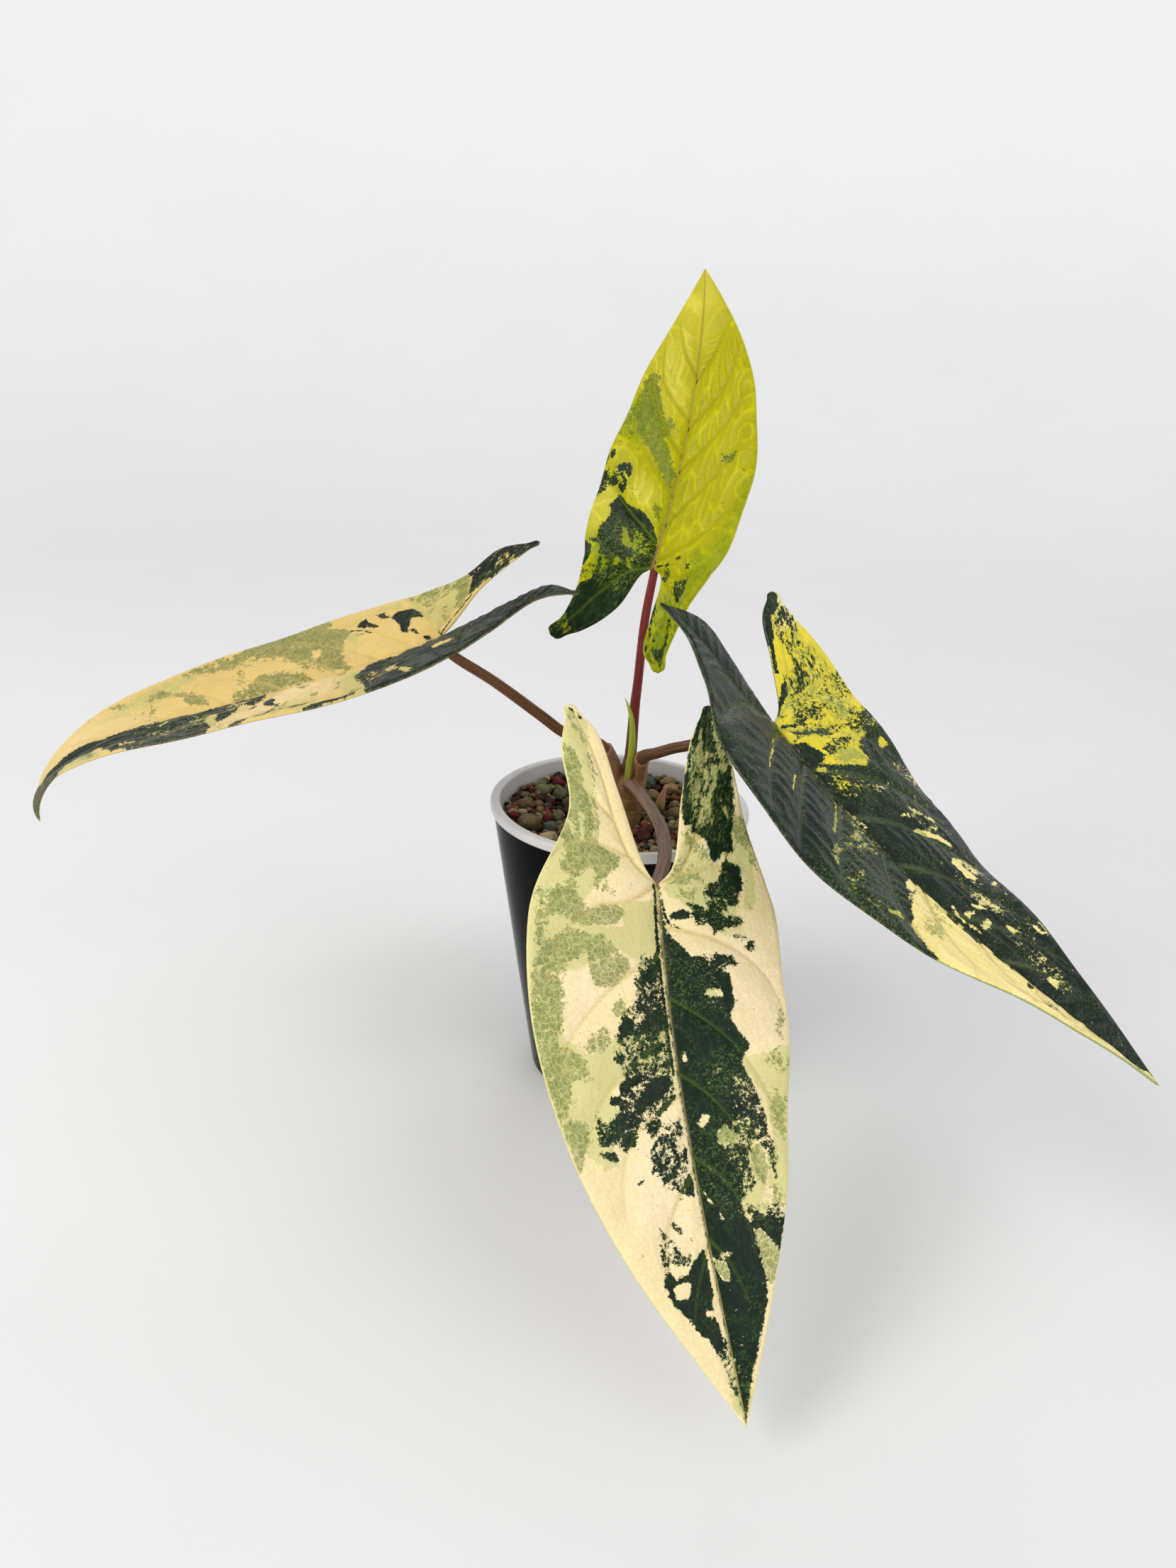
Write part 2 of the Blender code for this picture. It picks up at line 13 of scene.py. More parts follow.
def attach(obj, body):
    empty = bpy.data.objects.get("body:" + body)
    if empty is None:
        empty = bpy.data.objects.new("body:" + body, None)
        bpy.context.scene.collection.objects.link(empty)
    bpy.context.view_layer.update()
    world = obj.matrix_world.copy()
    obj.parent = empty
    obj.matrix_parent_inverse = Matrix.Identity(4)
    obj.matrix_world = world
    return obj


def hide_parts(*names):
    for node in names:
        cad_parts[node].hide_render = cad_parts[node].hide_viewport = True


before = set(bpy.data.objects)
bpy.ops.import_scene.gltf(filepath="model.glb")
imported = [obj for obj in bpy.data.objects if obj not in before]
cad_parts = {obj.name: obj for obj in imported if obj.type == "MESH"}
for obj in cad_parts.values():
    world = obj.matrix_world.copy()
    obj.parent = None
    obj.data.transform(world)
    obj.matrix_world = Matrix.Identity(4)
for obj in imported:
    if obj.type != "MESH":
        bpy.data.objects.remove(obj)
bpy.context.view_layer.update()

mm = 0.001
fullTurn = 2.0 * math.pi


def unit(value):
    return np.clip(value, 0.0, 1.0)


def bell(gap, width):
    return np.exp(-(gap / width) ** 2)


# field is what this kind of attribute calls its numbers
def addLayer(mesh, key, kind, field, numbers):
    layer = mesh.attributes.new(key, kind, "POINT")
    layer.data.foreach_set(field, np.asarray(numbers).astype(np.float32).ravel())


def addObject(name, data):
    added = bpy.data.objects.new(name, data)
    bpy.context.scene.collection.objects.link(added)
    return added


# faces is a list of whole-number arrays, each with three or four corners to a row
def makeMesh(name, points, faces, material, values=None, vectors=None, weld=0.0):
    mesh = bpy.data.meshes.new(name)
    mesh.vertices.add(len(points))
    mesh.vertices.foreach_set("co", (np.asarray(points) * mm).astype(np.float32).ravel())
    corners = np.concatenate([np.asarray(rows).ravel() for rows in faces]).astype(np.int32)
    sizes = np.concatenate([np.full(len(rows), np.asarray(rows).shape[1]) for rows in faces])
    starts = np.concatenate([[0], np.cumsum(sizes)[:-1]]).astype(np.int32)
    mesh.loops.add(len(corners))
    mesh.loops.foreach_set("vertex_index", corners)
    mesh.polygons.add(len(starts))
    mesh.polygons.foreach_set("loop_start", starts)
    mesh.update(calc_edges=True)
    for key, numbers in (values or {}).items():
        addLayer(mesh, key, "FLOAT", "value", numbers)
    for key, numbers in (vectors or {}).items():
        addLayer(mesh, key, "FLOAT_VECTOR", "vector", numbers)
    bm = bmesh.new()
    bm.from_mesh(mesh)
    if weld:
        bmesh.ops.remove_doubles(bm, verts=bm.verts, dist=weld * mm)
    bmesh.ops.recalc_face_normals(bm, faces=bm.faces)
    bm.to_mesh(mesh)
    bm.free()
    mesh.shade_smooth()
    mesh.materials.append(material)
    return addObject(name, mesh)


# The mesh that a piece has under its modifiers takes the place of its own.
def settleModifiers(piece):
    evaluated = piece.evaluated_get(bpy.context.evaluated_depsgraph_get())
    piece.data = bpy.data.meshes.new_from_object(evaluated)
    piece.modifiers.clear()


def standFor(piece, slotName, *nodes):
    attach(piece, "root")
    if nodes:
        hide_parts(*nodes)
    return piece


def ringAngles(sides):
    return fullTurn * np.arange(sides) / sides


# Quads between rings of points that are laid out one after another, from the point numbered start on.
def ringQuads(rings, sides, start=0):
    index = start + np.arange(rings * sides).reshape(rings, sides)
    after = np.roll(index, -1, axis=1)
    return np.stack([index[:-1], after[:-1], after[1:], index[1:]], -1).reshape(-1, 4)


# Triangles from the ring that begins at start to the point numbered middle.
def ringCap(start, sides, middle):
    index = start + np.arange(sides)
    return np.stack([index, np.roll(index, -1), np.full(sides, middle)], -1)


# Lays out the nodes of one shader or group; an input is a socket to link or a constant to set.
class Desk:
    def __init__(self, tree):
        self.tree = tree

    def feed(self, socket, value):
        if isinstance(value, bpy.types.NodeSocket):
            self.tree.links.new(value, socket)
        elif socket.type == "RGBA":
            socket.default_value = (*value[:3], 1.0)
        else:
            socket.default_value = value

    def feedAll(self, node, **inputs):
        for key, value in inputs.items():
            self.feed(node.inputs[spaced(key)], value)
        return node

    def put(self, kind, inputs=None, **settings):
        node = self.tree.nodes.new(kind)
        for key, value in settings.items():
            setattr(node, key, value)
        for key, value in (inputs or {}).items():
            self.feed(node.inputs[key], value)
        return node

    def math(self, operation, first, second, clamp=False):
        node = self.put("ShaderNodeMath", {0: first, 1: second}, operation=operation, use_clamp=clamp)
        return node.outputs[0]

    def plus(self, first, second, clamp=False):
        return self.math("ADD", first, second, clamp)

    def minus(self, first, second):
        return self.math("SUBTRACT", first, second)

    def times(self, first, second):
        return self.math("MULTIPLY", first, second)

    def vector(self, operation, first, second):
        return self.put("ShaderNodeVectorMath", {0: first, 1: second}, operation=operation).outputs[0]

    def mix(self, share, low, high, blend="MIX"):
        node = self.put("ShaderNodeMix", data_type="RGBA", blend_type=blend, clamp_factor=True)
        for socket, value in ((node.inputs[0], share), (node.inputs[6], low), (node.inputs[7], high)):
            self.feed(socket, value)
        return node.outputs[2]

    def ramp(self, value, start, end, low=0.0, high=1.0):
        inputs = {"Value": value, "From Min": start, "From Max": end, "To Min": low, "To Max": high}
        return self.put("ShaderNodeMapRange", inputs, interpolation_type="SMOOTHSTEP").outputs[0]

    def objectPlace(self):
        return self.put("ShaderNodeTexCoord").outputs["Object"]

    def height(self):
        return self.put("ShaderNodeSeparateXYZ", {0: self.objectPlace()}).outputs[2]

    def scaled(self, place, sizes):
        return self.put("ShaderNodeMapping", {"Vector": place, "Scale": sizes}).outputs[0]

    def noise(self, place, scale, detail=3.0, roughness=0.55, distortion=0.0):
        inputs = {"Vector": place, "Scale": scale, "Detail": detail, "Roughness": roughness,
                  "Distortion": distortion}
        return self.put("ShaderNodeTexNoise", inputs).outputs["Fac"]

    def cells(self, place, scale, feature="F1", output="Distance"):
        inputs = {"Vector": place, "Scale": scale}
        return self.put("ShaderNodeTexVoronoi", inputs, feature=feature).outputs[output]

    def read(self, name, output="Fac"):
        return self.put("ShaderNodeAttribute", attribute_name=name).outputs[output]

    def group(self, tree, **inputs):
        return self.feedAll(self.put("ShaderNodeGroup", node_tree=tree), **inputs)

    def finish(self, shader, colour, roughness, height, strength, distance):
        bump = {"Height": height, "Strength": strength, "Distance": distance * mm}
        normal = self.put("ShaderNodeBump", bump).outputs["Normal"]
        self.feedAll(shader, baseColor=colour, roughness=roughness, normal=normal)


def spaced(key):
    return "".join(" " + letter if letter.isupper() else letter for letter in key).title()


def newGroup(name, inputs, outputs):
    tree = bpy.data.node_groups.new(name, "ShaderNodeTree")
    kinds = {"value": "NodeSocketFloat", "colour": "NodeSocketColor", "vector": "NodeSocketVector"}
    for key, (kind, start) in inputs.items():
        socket = tree.interface.new_socket(name=spaced(key), in_out="INPUT", socket_type=kinds[kind])
        if start is not None:
            socket.default_value = start if kind != "colour" else (*start, 1.0)
    for key, kind in outputs.items():
        tree.interface.new_socket(name=spaced(key), in_out="OUTPUT", socket_type=kinds[kind])
    desk = Desk(tree)
    source = desk.put("NodeGroupInput")
    taken = {key: source.outputs[spaced(key)] for key in inputs}
    target = desk.put("NodeGroupOutput")
    return tree, desk, taken, target


def newMaterial(name, shine):
    material = bpy.data.materials.new(name)
    material.use_nodes = True
    desk = Desk(material.node_tree)
    shader = material.node_tree.nodes["Principled BSDF"]
    desk.feed(shader.inputs["Specular IOR Level"], shine)
    return material, desk, shader


# A soft share from 0 to 1 becomes a patch with a broken, mossy edge; a share near a half gives specks.
# With mesh, the patch begins and ends at the borders of small cells, as it does at a leaf's fine veins.
def makeRaggedPatch():
    tree, desk, taken, target = newGroup(
        "raggedPatch",
        {"share": ("value", 0.0), "place": ("vector", None), "coarse": ("value", 0.35),
         "fine": ("value", 1.1), "raggedness": ("value", 1.2), "edge": ("value", 0.06),
         "mesh": ("value", 0.0)},
        {"mask": "value", "halo": "value"})
    place, fine = taken["place"], taken["fine"]
    broad = desk.noise(place, taken["coarse"], 4.0, 0.62, 0.4)
    small = desk.noise(place, fine, 4.0, 0.6)
    crumbs = desk.noise(place, desk.times(fine, 2.6), 3.0, 0.6)
    grains = desk.cells(place, fine, "SMOOTH_F1")
    spread = desk.plus(desk.minus(broad, 0.5), desk.minus(small, 0.5))
    spread = desk.plus(spread, desk.times(desk.minus(crumbs, 0.5), 0.75))
    spread = desk.plus(spread, desk.times(desk.minus(0.35, grains), 0.35))
    tile = desk.cells(place, desk.times(fine, 0.62), output="Color")
    spread = desk.times(spread, taken["raggedness"])
    spread = desk.plus(spread, desk.times(desk.minus(tile, 0.5), taken["mesh"]))
    value = desk.plus(taken["share"], spread)
    low = desk.minus(0.5, taken["edge"])
    high = desk.plus(0.5, taken["edge"])
    desk.feedAll(target, mask=desk.ramp(value, low, high), halo=desk.ramp(value, desk.minus(low, 0.14), low))
    return tree


# The net of fine veins: lines where the borders of two sizes of cells run.
def makeNetVeins():
    tree, desk, taken, target = newGroup(
        "netVeins", {"place": ("vector", None), "size": ("value", 2.6)}, {"line": "value", "cell": "value"})
    noise = desk.put("ShaderNodeTexNoise", {"Vector": taken["place"], "Scale": 0.3, "Detail": 2.0})
    drift = desk.vector("SUBTRACT", noise.outputs["Color"], (0.5, 0.5, 0.5))
    bent = desk.vector("ADD", taken["place"], desk.vector("MULTIPLY", drift, (3.0, 3.0, 3.0)))
    rate = desk.math("DIVIDE", 1.0, taken["size"])
    large = desk.cells(bent, rate, "DISTANCE_TO_EDGE")
    small = desk.cells(bent, desk.times(rate, 2.3), "DISTANCE_TO_EDGE")
    line = desk.math("MAXIMUM", desk.ramp(large, 0.0, 0.10, 1.0, 0.0), desk.ramp(small, 0.0, 0.12, 0.55, 0.0))
    desk.feedAll(target, line=line, cell=desk.ramp(large, 0.0, 0.35))
    return tree


# Streaks that run lengthwise: place holds the direction round the stalk and the distance along it.
def makeLengthwiseStreaks():
    tree, desk, taken, target = newGroup(
        "lengthwiseStreaks", {"place": ("vector", None)}, {"streak": "value", "fleck": "value"})
    lines = desk.noise(desk.vector("MULTIPLY", taken["place"], (1.0, 1.0, 0.03)), 3.2, 3.0, 0.6)
    short = desk.noise(desk.vector("MULTIPLY", taken["place"], (1.6, 1.6, 0.5)), 3.0)
    desk.feedAll(target, streak=desk.ramp(lines, 0.36, 0.64), fleck=desk.ramp(short, 0.56, 0.7))
    return tree


# Cloudy unevenness and fine grain for plain surfaces, by position in the pot's frame.
def makeSoftMottle():
    tree, desk, taken, target = newGroup(
        "softMottle", {"scale": ("value", 40.0), "grain": ("value", 900.0)},
        {"cloud": "value", "grain": "value", "speck": "value"})
    place = desk.objectPlace()
    cloud = desk.ramp(desk.noise(place, taken["scale"], 4.0), 0.3, 0.7)
    specks = desk.cells(place, desk.times(taken["scale"], 12.0))
    desk.feedAll(target, cloud=cloud, grain=desk.noise(place, taken["grain"]),
                 speck=desk.ramp(specks, 0.05, 0.09, 1.0, 0.0))
    return tree


raggedPatch = makeRaggedPatch()
netVeins = makeNetVeins()
lengthwiseStreaks = makeLengthwiseStreaks()
softMottle = makeSoftMottle()

# What a blade's surface takes: its colours from a finish, its shares from the mesh.
bladeColours = ("ground", "greenGround", "paleGround", "sage", "deepSage", "dark", "fleck", "vein", "rib",
                "ridge", "darkRidge", "margin", "under")
bladeShares = ("darkShare", "sageShare", "greenShare", "paleShare", "veinShare", "ribShare", "ridgeShare",
               "marginGap", "underShare")
bladePlaces = ("flatPlace", "grainPlace")
bladeAmounts = ("netAmount", "marginWidth", "greenEdge")


def makeBladeSurface():
    inputs = {key: ("vector", None) for key in bladePlaces}
    inputs.update({key: ("value", 0.0) for key in bladeShares + bladeAmounts})
    inputs.update({key: ("colour", (0.5, 0.5, 0.5)) for key in bladeColours})
    tree, desk, taken, target = newGroup(
        "bladeSurface", inputs, {"colour": "colour", "height": "value"})
    place, grainPlace = taken["flatPlace"], taken["grainPlace"]
    net = desk.group(netVeins, place=place, size=2.1)
    cloud = desk.noise(place, 0.07, 4.0)
    fibre = desk.noise(place, 1.6)
    # ground, greener or paler by region, with a faint net, and a painted sheen that lightens the crests of
    # the cross ridges
    greenPatch = desk.group(raggedPatch, share=taken["greenShare"], place=place, coarse=0.12, fine=0.7,
                            edge=taken["greenEdge"], raggedness=0.8, mesh=0.3)
    colour = desk.mix(greenPatch.outputs["Mask"], taken["ground"], taken["greenGround"])
    colour = desk.mix(taken["paleShare"], colour, taken["paleGround"])
    shade = desk.ramp(desk.plus(desk.times(cloud, 0.7), desk.times(fibre, 0.3)), 0.3, 0.7, 0.92, 1.04)
    grey = desk.put("ShaderNodeCombineColor", {0: shade, 1: shade, 2: shade}).outputs[0]
    colour = desk.mix(1.0, colour, grey, "MULTIPLY")
    netOnGround = desk.times(net.outputs["Line"], desk.times(taken["netAmount"], 0.42))
    colour = desk.mix(netOnGround, colour, taken["vein"])
    sheenLit = desk.mix(1.0, colour, taken["ridge"], "MULTIPLY")
    colour = desk.mix(taken["ridgeShare"], colour, sheenLit)
    # sage marbling, crossed by the pale net
    sagePatch = desk.group(raggedPatch, share=taken["sageShare"], place=grainPlace, coarse=0.24, fine=1.0,
                           edge=0.06, raggedness=1.25, mesh=0.6)
    depth = desk.ramp(desk.noise(place, 0.42, 5.0, 0.65), 0.42, 0.58)
    crumbs = desk.ramp(desk.noise(grainPlace, 1.5, 4.0, 0.75), 0.47, 0.58, 0.0, 0.8)
    sage = desk.mix(depth, taken["sage"], taken["deepSage"])
    sage = desk.mix(crumbs, sage, taken["deepSage"])
    sage = desk.mix(desk.times(net.outputs["Line"], taken["netAmount"]), sage, colour)
    colour = desk.mix(desk.times(sagePatch.outputs["Mask"], 0.93), colour, sage)
    # near-black patches with mossy green flecks in them and a green fringe round them
    darkPatch = desk.group(raggedPatch, share=taken["darkShare"], place=grainPlace, coarse=0.28, fine=1.0,
                           edge=0.045)
    mossy = desk.ramp(desk.noise(grainPlace, 1.25, 4.0, 0.75), 0.50, 0.60)
    broad = desk.ramp(desk.noise(grainPlace, 0.16), 0.42, 0.60)
    mossShare = desk.plus(desk.times(broad, 0.55), taken["greenShare"], clamp=True)
    dark = desk.mix(desk.times(mossy, mossShare), taken["dark"], taken["fleck"])
    # painted sheen: the crests of the cross ridges are lighter in the near-black patches too
    dark = desk.mix(desk.times(taken["ridgeShare"], 0.4), dark, taken["darkRidge"])
    darkMask = darkPatch.outputs["Mask"]
    colour = desk.mix(desk.times(darkPatch.outputs["Halo"], 0.45), colour, taken["fleck"])
    colour = desk.mix(darkMask, colour, dark)
    # veins, midrib and margin
    veinTint = desk.mix(darkMask, taken["vein"], taken["fleck"])
    colour = desk.mix(desk.times(taken["veinShare"], 0.75), colour, veinTint)
    colour = desk.mix(desk.times(taken["ribShare"], 0.75), colour, taken["rib"])
    marginGap = desk.plus(taken["marginGap"], desk.times(desk.minus(fibre, 0.5), 0.4))
    marginStart = desk.times(taken["marginWidth"], 0.45)
    marginLine = desk.ramp(marginGap, marginStart, taken["marginWidth"], 0.85, 0.0)
    marginLine = desk.times(marginLine, desk.ramp(darkMask, 0.0, 1.0, 1.0, 0.12))
    colour = desk.mix(marginLine, colour, taken["margin"])
    # the underside is the same marbling seen through a paler skin
    underMix = desk.times(taken["underShare"], desk.ramp(darkMask, 0.0, 1.0, 0.42, 0.12))
    colour = desk.mix(underMix, colour, taken["under"])
    underLine = desk.times(desk.times(net.outputs["Line"], taken["underShare"]), 0.35)
    colour = desk.mix(underLine, colour, taken["vein"])
    height = desk.plus(desk.times(net.outputs["Cell"], 0.6), desk.times(fibre, 0.4))
    desk.feedAll(target, colour=colour, height=height)
    return tree


bladeSurface = makeBladeSurface()


# finish holds the colours, the gloss and how plainly the net and the margin show; its ridge colours are a
# painted sheen on the crests of the cross ridges
def bladeMaterial(name, finish):
    material, desk, shader = newMaterial(name, finish["shine"])
    inputs = {key: finish[key] for key in bladeColours + bladeAmounts}
    inputs.update({key: desk.read(key) for key in bladeShares})
    inputs.update({key: desk.read(key, "Vector") for key in bladePlaces})
    blade = desk.group(bladeSurface, **inputs)
    roughness = desk.plus(finish["roughness"], desk.times(inputs["underShare"], 0.18))
    grain = desk.noise(inputs["flatPlace"], 0.8)
    roughness = desk.plus(roughness, desk.times(desk.minus(grain, 0.5), 0.16))
    desk.finish(shader, blade.outputs["Colour"], roughness, blade.outputs["Height"], 0.4, 0.25)
    return material


print("shaders ready")

# What all leaves share. Outlines are fractions of a half's width and of the leaf's length; the rest is
# in millimetres. settle fades the relief at the margin and roll is the height, place and width of its edge.
leafRule = dict(
    front=((0.21, 0.89), (0.63, 0.66), (0.96, 0.37), (1.0, 0.07)), lobeSteps=(0.36, 0.72, 1.0),
    sinusSteps=(0.09, 0.48, 0.84), shoulder=0.62, rowStep=0.75, columns=62, crowding=0.32, fan=1.4,
    lobeAxisFrom=9.0, bluntReach=5.0, bluntFade=2.0, bluntSoftness=0.2, halfThickness=0.4, bead=0.7,
    thinnest=0.25, keelDepth=1.5, keelHalfWidth=2.0, keelBehind=3.0, veinKeel=1.1, underRelief=0.7,
    channelWidth=(0.45, 0.5), ribBehind=2.0, ribWidth=0.28, waveCount=5.0, slimReach=9.0, settle=2.0,
    roll=(0.12, 0.7, 0.6), spreads=dict(dark=1.0, sage=1.7, green=1.0, pale=1.0), lobeFrom=8.0,
    lobeFlow=(0.3, 0.6), placeStep=37.0, weld=0.002)


def eased(value):
    return value * value * (3.0 - 2.0 * value)


# A value that is given for the lobe's end, the base, the middle and the tip of a half leaf.
def bendValue(values, forward, backward):
    lobe, base, middle, tip = values
    rise = eased(unit(forward / 0.45))
    fall = eased(unit((forward - 0.45) / 0.55))
    return base + (middle - base) * rise + (tip - middle) * fall + (lobe - base) * backward


# The midrib of a flat leaf bent into place: positions and frames at given distances along it.
class Midrib:
    def __init__(self, leaf):
        self.leaf = leaf
        self.lobe = max(leaf["left"]["lobe"], leaf["right"]["lobe"])
        self.atY = np.linspace(-1.05 * self.lobe, leaf["length"], 400)
        forward, backward = self.fractions(self.atY)
        arch = leaf["arch"] * forward + leaf["tipArch"] * forward ** 4
        pitch = np.radians(leaf["lobeLift"] * backward - arch)
        sway = np.radians(leaf["sway"] * forward + leaf["tipSway"] * forward ** 4)
        twist = np.radians(leaf["twist"] * forward + leaf["lobeTwist"] * backward)
        tangent = np.stack([np.cos(pitch) * np.cos(sway), np.sin(sway), np.sin(pitch) * np.cos(sway)], 1)
        upright = np.stack([-np.sin(pitch), np.zeros_like(pitch), np.cos(pitch)], 1)
        right = np.cross(upright, tangent)
        right /= np.linalg.norm(right, axis=1)[:, None]
        above = np.cross(tangent, right)
        cosTwist, sinTwist = np.cos(twist)[:, None], np.sin(twist)[:, None]
        self.right = right * cosTwist + above * sinTwist
        self.above = above * cosTwist - right * sinTwist
        steps = (tangent[1:] + tangent[:-1]) / 2.0 * (self.atY[1] - self.atY[0])
        self.line = np.vstack([np.zeros(3), np.cumsum(steps, axis=0)])
        self.line -= self.read(self.line, np.array([0.0]))[0]

    def fractions(self, y):
        return unit(y / self.leaf["length"]), unit(-y / self.lobe)

    def read(self, table, y):
        return np.stack([np.interp(y, self.atY, table[:, axis]) for axis in range(3)], -1)

    def toPot(self, local):
        heading, pitch, roll = (math.radians(self.leaf[key]) for key in ("heading", "pitch", "roll"))
        level = np.array([math.sin(heading), -math.cos(heading), 0.0])
        ahead = np.array([math.cos(heading), math.sin(heading), 0.0])
        forward = ahead * math.cos(pitch) + np.array([0.0, 0.0, math.sin(pitch)])
        above = np.cross(level, forward)
        right = level * math.cos(roll) - above * math.sin(roll)
        raised = above * math.cos(roll) + level * math.sin(roll)
        return np.array(self.leaf["at"]) + local @ np.stack([forward, right, raised])

    # a point of the flat half at x out from the midrib and y along it, raised by lift
    def place(self, side, x, y, lift):
        half = self.leaf["left" if side < 0 else "right"]
        forward, backward = self.fractions(y)
        fold = np.radians(bendValue(half["fold"], forward, backward))
        curl = np.radians(bendValue(half["curl"], forward, backward)) / half["width"]
        curl = np.where(np.abs(curl) < 1e-6, 1e-6, curl)
        turn = fold + curl * x
        outward = (np.sin(turn) - np.sin(fold)) / curl - np.sin(turn) * lift
        height = (np.cos(fold) - np.cos(turn)) / curl + np.cos(turn) * lift
        local = (self.read(self.line, y) + side * outward[:, None] * self.read(self.right, y)
                 + height[:, None] * self.read(self.above, y))
        return self.toPot(local)

    def middle(self, y, lift):
        y = np.atleast_1d(np.asarray(y, float))
        lift = np.atleast_1d(np.asarray(lift, float))
        return self.toPot(self.read(self.line, y) + lift[:, None] * self.read(self.above, y))


def travelled(line):
    return np.concatenate([[0.0], np.cumsum(np.linalg.norm(np.diff(line, axis=0), axis=1))])


# One point more at each end, as far out as the last step.
def lengthened(rows):
    return np.vstack([2 * rows[0] - rows[1], rows, 2 * rows[-1] - rows[-2]])


def between(t, start, end, low, high):
    return ((end - t) * low + (t - start) * high) / (end - start)


# A smooth curve through flat points that doesn't overshoot where they are close together.
def curveThrough(points, samples=24):
    rows = np.array(points, float)
    padded = lengthened(rows)
    run = []
    for index in range(1, len(rows)):
        near = padded[index - 1:index + 3]
        knots = np.concatenate([[0.0], np.cumsum(np.sqrt(np.linalg.norm(np.diff(near, axis=0), axis=1)))])
        t = np.linspace(knots[1], knots[2], samples, endpoint=False)[:, None]
        pairs = [between(t, knots[k], knots[k + 1], near[k], near[k + 1]) for k in range(3)]
        threes = [between(t, knots[k], knots[k + 2], pairs[k], pairs[k + 1]) for k in range(2)]
        run.append(between(t, knots[1], knots[2], *threes))
    return np.vstack(run + [rows[-1:]])


def alongCurve(curve, fractions):
    lengths = travelled(curve)
    return np.stack([np.interp(fractions * lengths[-1], lengths, curve[:, axis]) for axis in range(2)], -1)


# Both edges close to a lobe's end are moved outward from its middle line, so that it ends blunt and round.
def bluntEnd(inner, outer, radius):
    middle = (inner + outer) / 2.0
    end = inner[-1]
    rows = np.arange(len(inner))
    behind = rows[np.linalg.norm(middle - end, axis=1) > leafRule["lobeAxisFrom"]][-1]
    axis = (end - middle[behind]) / np.linalg.norm(end - middle[behind])
    across = np.array([-axis[1], axis[0]])
    across = across * math.copysign(1.0, float((outer[behind] - inner[behind]) @ across))
    lobeRows = rows > len(rows) // 2
    centreReach = (end - middle)[lobeRows][::-1] @ axis
    centreShift = (middle - end)[lobeRows][::-1] @ across
    farthest = leafRule["bluntReach"] * radius
    moved = []
    for edge, direction in ((inner, -1.0), (outer, 1.0)):
        reach = (end - edge) @ axis
        wanted = radius * np.sqrt(1.0 - (1.0 - unit(reach / radius)) ** 2)
        half = direction * ((edge - end) @ across - np.interp(reach, centreReach, centreShift))
        wider = 0.5 * (half + wanted + np.sqrt((half - wanted) ** 2 + leafRule["bluntSoftness"] * wanted))
        extra = np.where(lobeRows & (reach < farthest), np.clip(wider - half, 0.0, None), 0.0)
        extra = extra * unit((farthest - reach) / (leafRule["bluntFade"] * radius))
        moved.append(edge + direction * across * extra[:, None])
    return moved


# Rows of a flat half leaf from the tip back to the lobe's end, from the midrib out to the margin.
def halfRows(leaf, half, frontRows, lobeRows):
    length, width, lobe = leaf["length"], half["width"], half["lobe"]
    shoulder = leafRule["shoulder"]
    outer = [(0.0, length)] + [(a * width, b * length) for a, b in leafRule["front"]]
    outer += [(x, -step * lobe) for x, step in zip(half["outer"], leafRule["lobeSteps"])]
    sinus = [(0.0, 0.0)] + [(x, -step * lobe) for x, step in zip(half["sinus"], leafRule["sinusSteps"])]
    margin, innerEdge = curveThrough(outer), curveThrough(sinus + [outer[-1]])
    front = np.linspace(0.0, 1.0, frontRows + 1)
    back = np.linspace(0.0, 1.0, lobeRows + 1)[1:]
    alongRib = np.stack([np.zeros_like(front), length * (1.0 - front)], 1)
    inner = np.vstack([alongRib, alongCurve(innerEdge, back)])
    fractions = np.concatenate([shoulder * front, shoulder + (1 - shoulder) * back])
    inner, outerRow = bluntEnd(inner, alongCurve(margin, fractions), half["blunt"])
    return inner, outerRow, fractions


# Distance from flat points to a run of straight pieces, and how far along it the nearest point is.
def nearLine(x, y, line):
    best = np.full(x.shape, 1e9)
    along = np.zeros(x.shape)
    done = 0.0
    for (ax, ay), (bx, by) in zip(line[:-1], line[1:]):
        dx, dy = bx - ax, by - ay
        size = math.hypot(dx, dy)
        t = unit(((x - ax) * dx + (y - ay) * dy) / max(size * size, 1e-9))
        gap = np.hypot(x - ax - t * dx, y - ay - t * dy)
        closer = gap < best
        best = np.where(closer, gap, best)
        along = np.where(closer, done + t * size, along)
        done += size
    return best, along


# How deep flat points lie inside an outline, in millimetres; outside it is negative.
def depthInside(x, y, outline):
    closed = list(outline) + [outline[0]]
    gap, _ = nearLine(x, y, closed)
    inside = np.zeros(x.shape, bool)
    for (ax, ay), (bx, by) in zip(closed[:-1], closed[1:]):
        crosses = (ay > y) != (by > y)
        with np.errstate(divide="ignore", invalid="ignore"):
            reach = (bx - ax) * (y - ay) / (by - ay) + ax
        inside ^= crosses & (x < reach)
    return np.where(inside, gap, -gap)


# A patch is (strength, softness, outline) and a stroke is (strength, softness, line, width); with a
# negative strength either takes away from what came before it.
def paint(x, y, patches, spread):
    share = np.zeros(x.shape)
    for strength, soft, outline, *width in patches:
        if width:
            depth = width[0] / 2.0 - nearLine(x, y, outline)[0]
        else:
            depth = depthInside(x, y, outline)
        part = unit(0.5 + depth / (2.0 * soft * spread))
        if strength < 0.0:
            share = share * (1.0 + strength * part)
        else:
            share = np.maximum(share, strength * part)
    return share


# A number from 0 to 1 for each cell of a grid, always the same one for the same cell and seed.
def scattered(column, row, seed, rates):
    mixed = np.sin(column * rates[0] + row * rates[1] + seed * rates[2]) * rates[3]
    return mixed - np.floor(mixed)


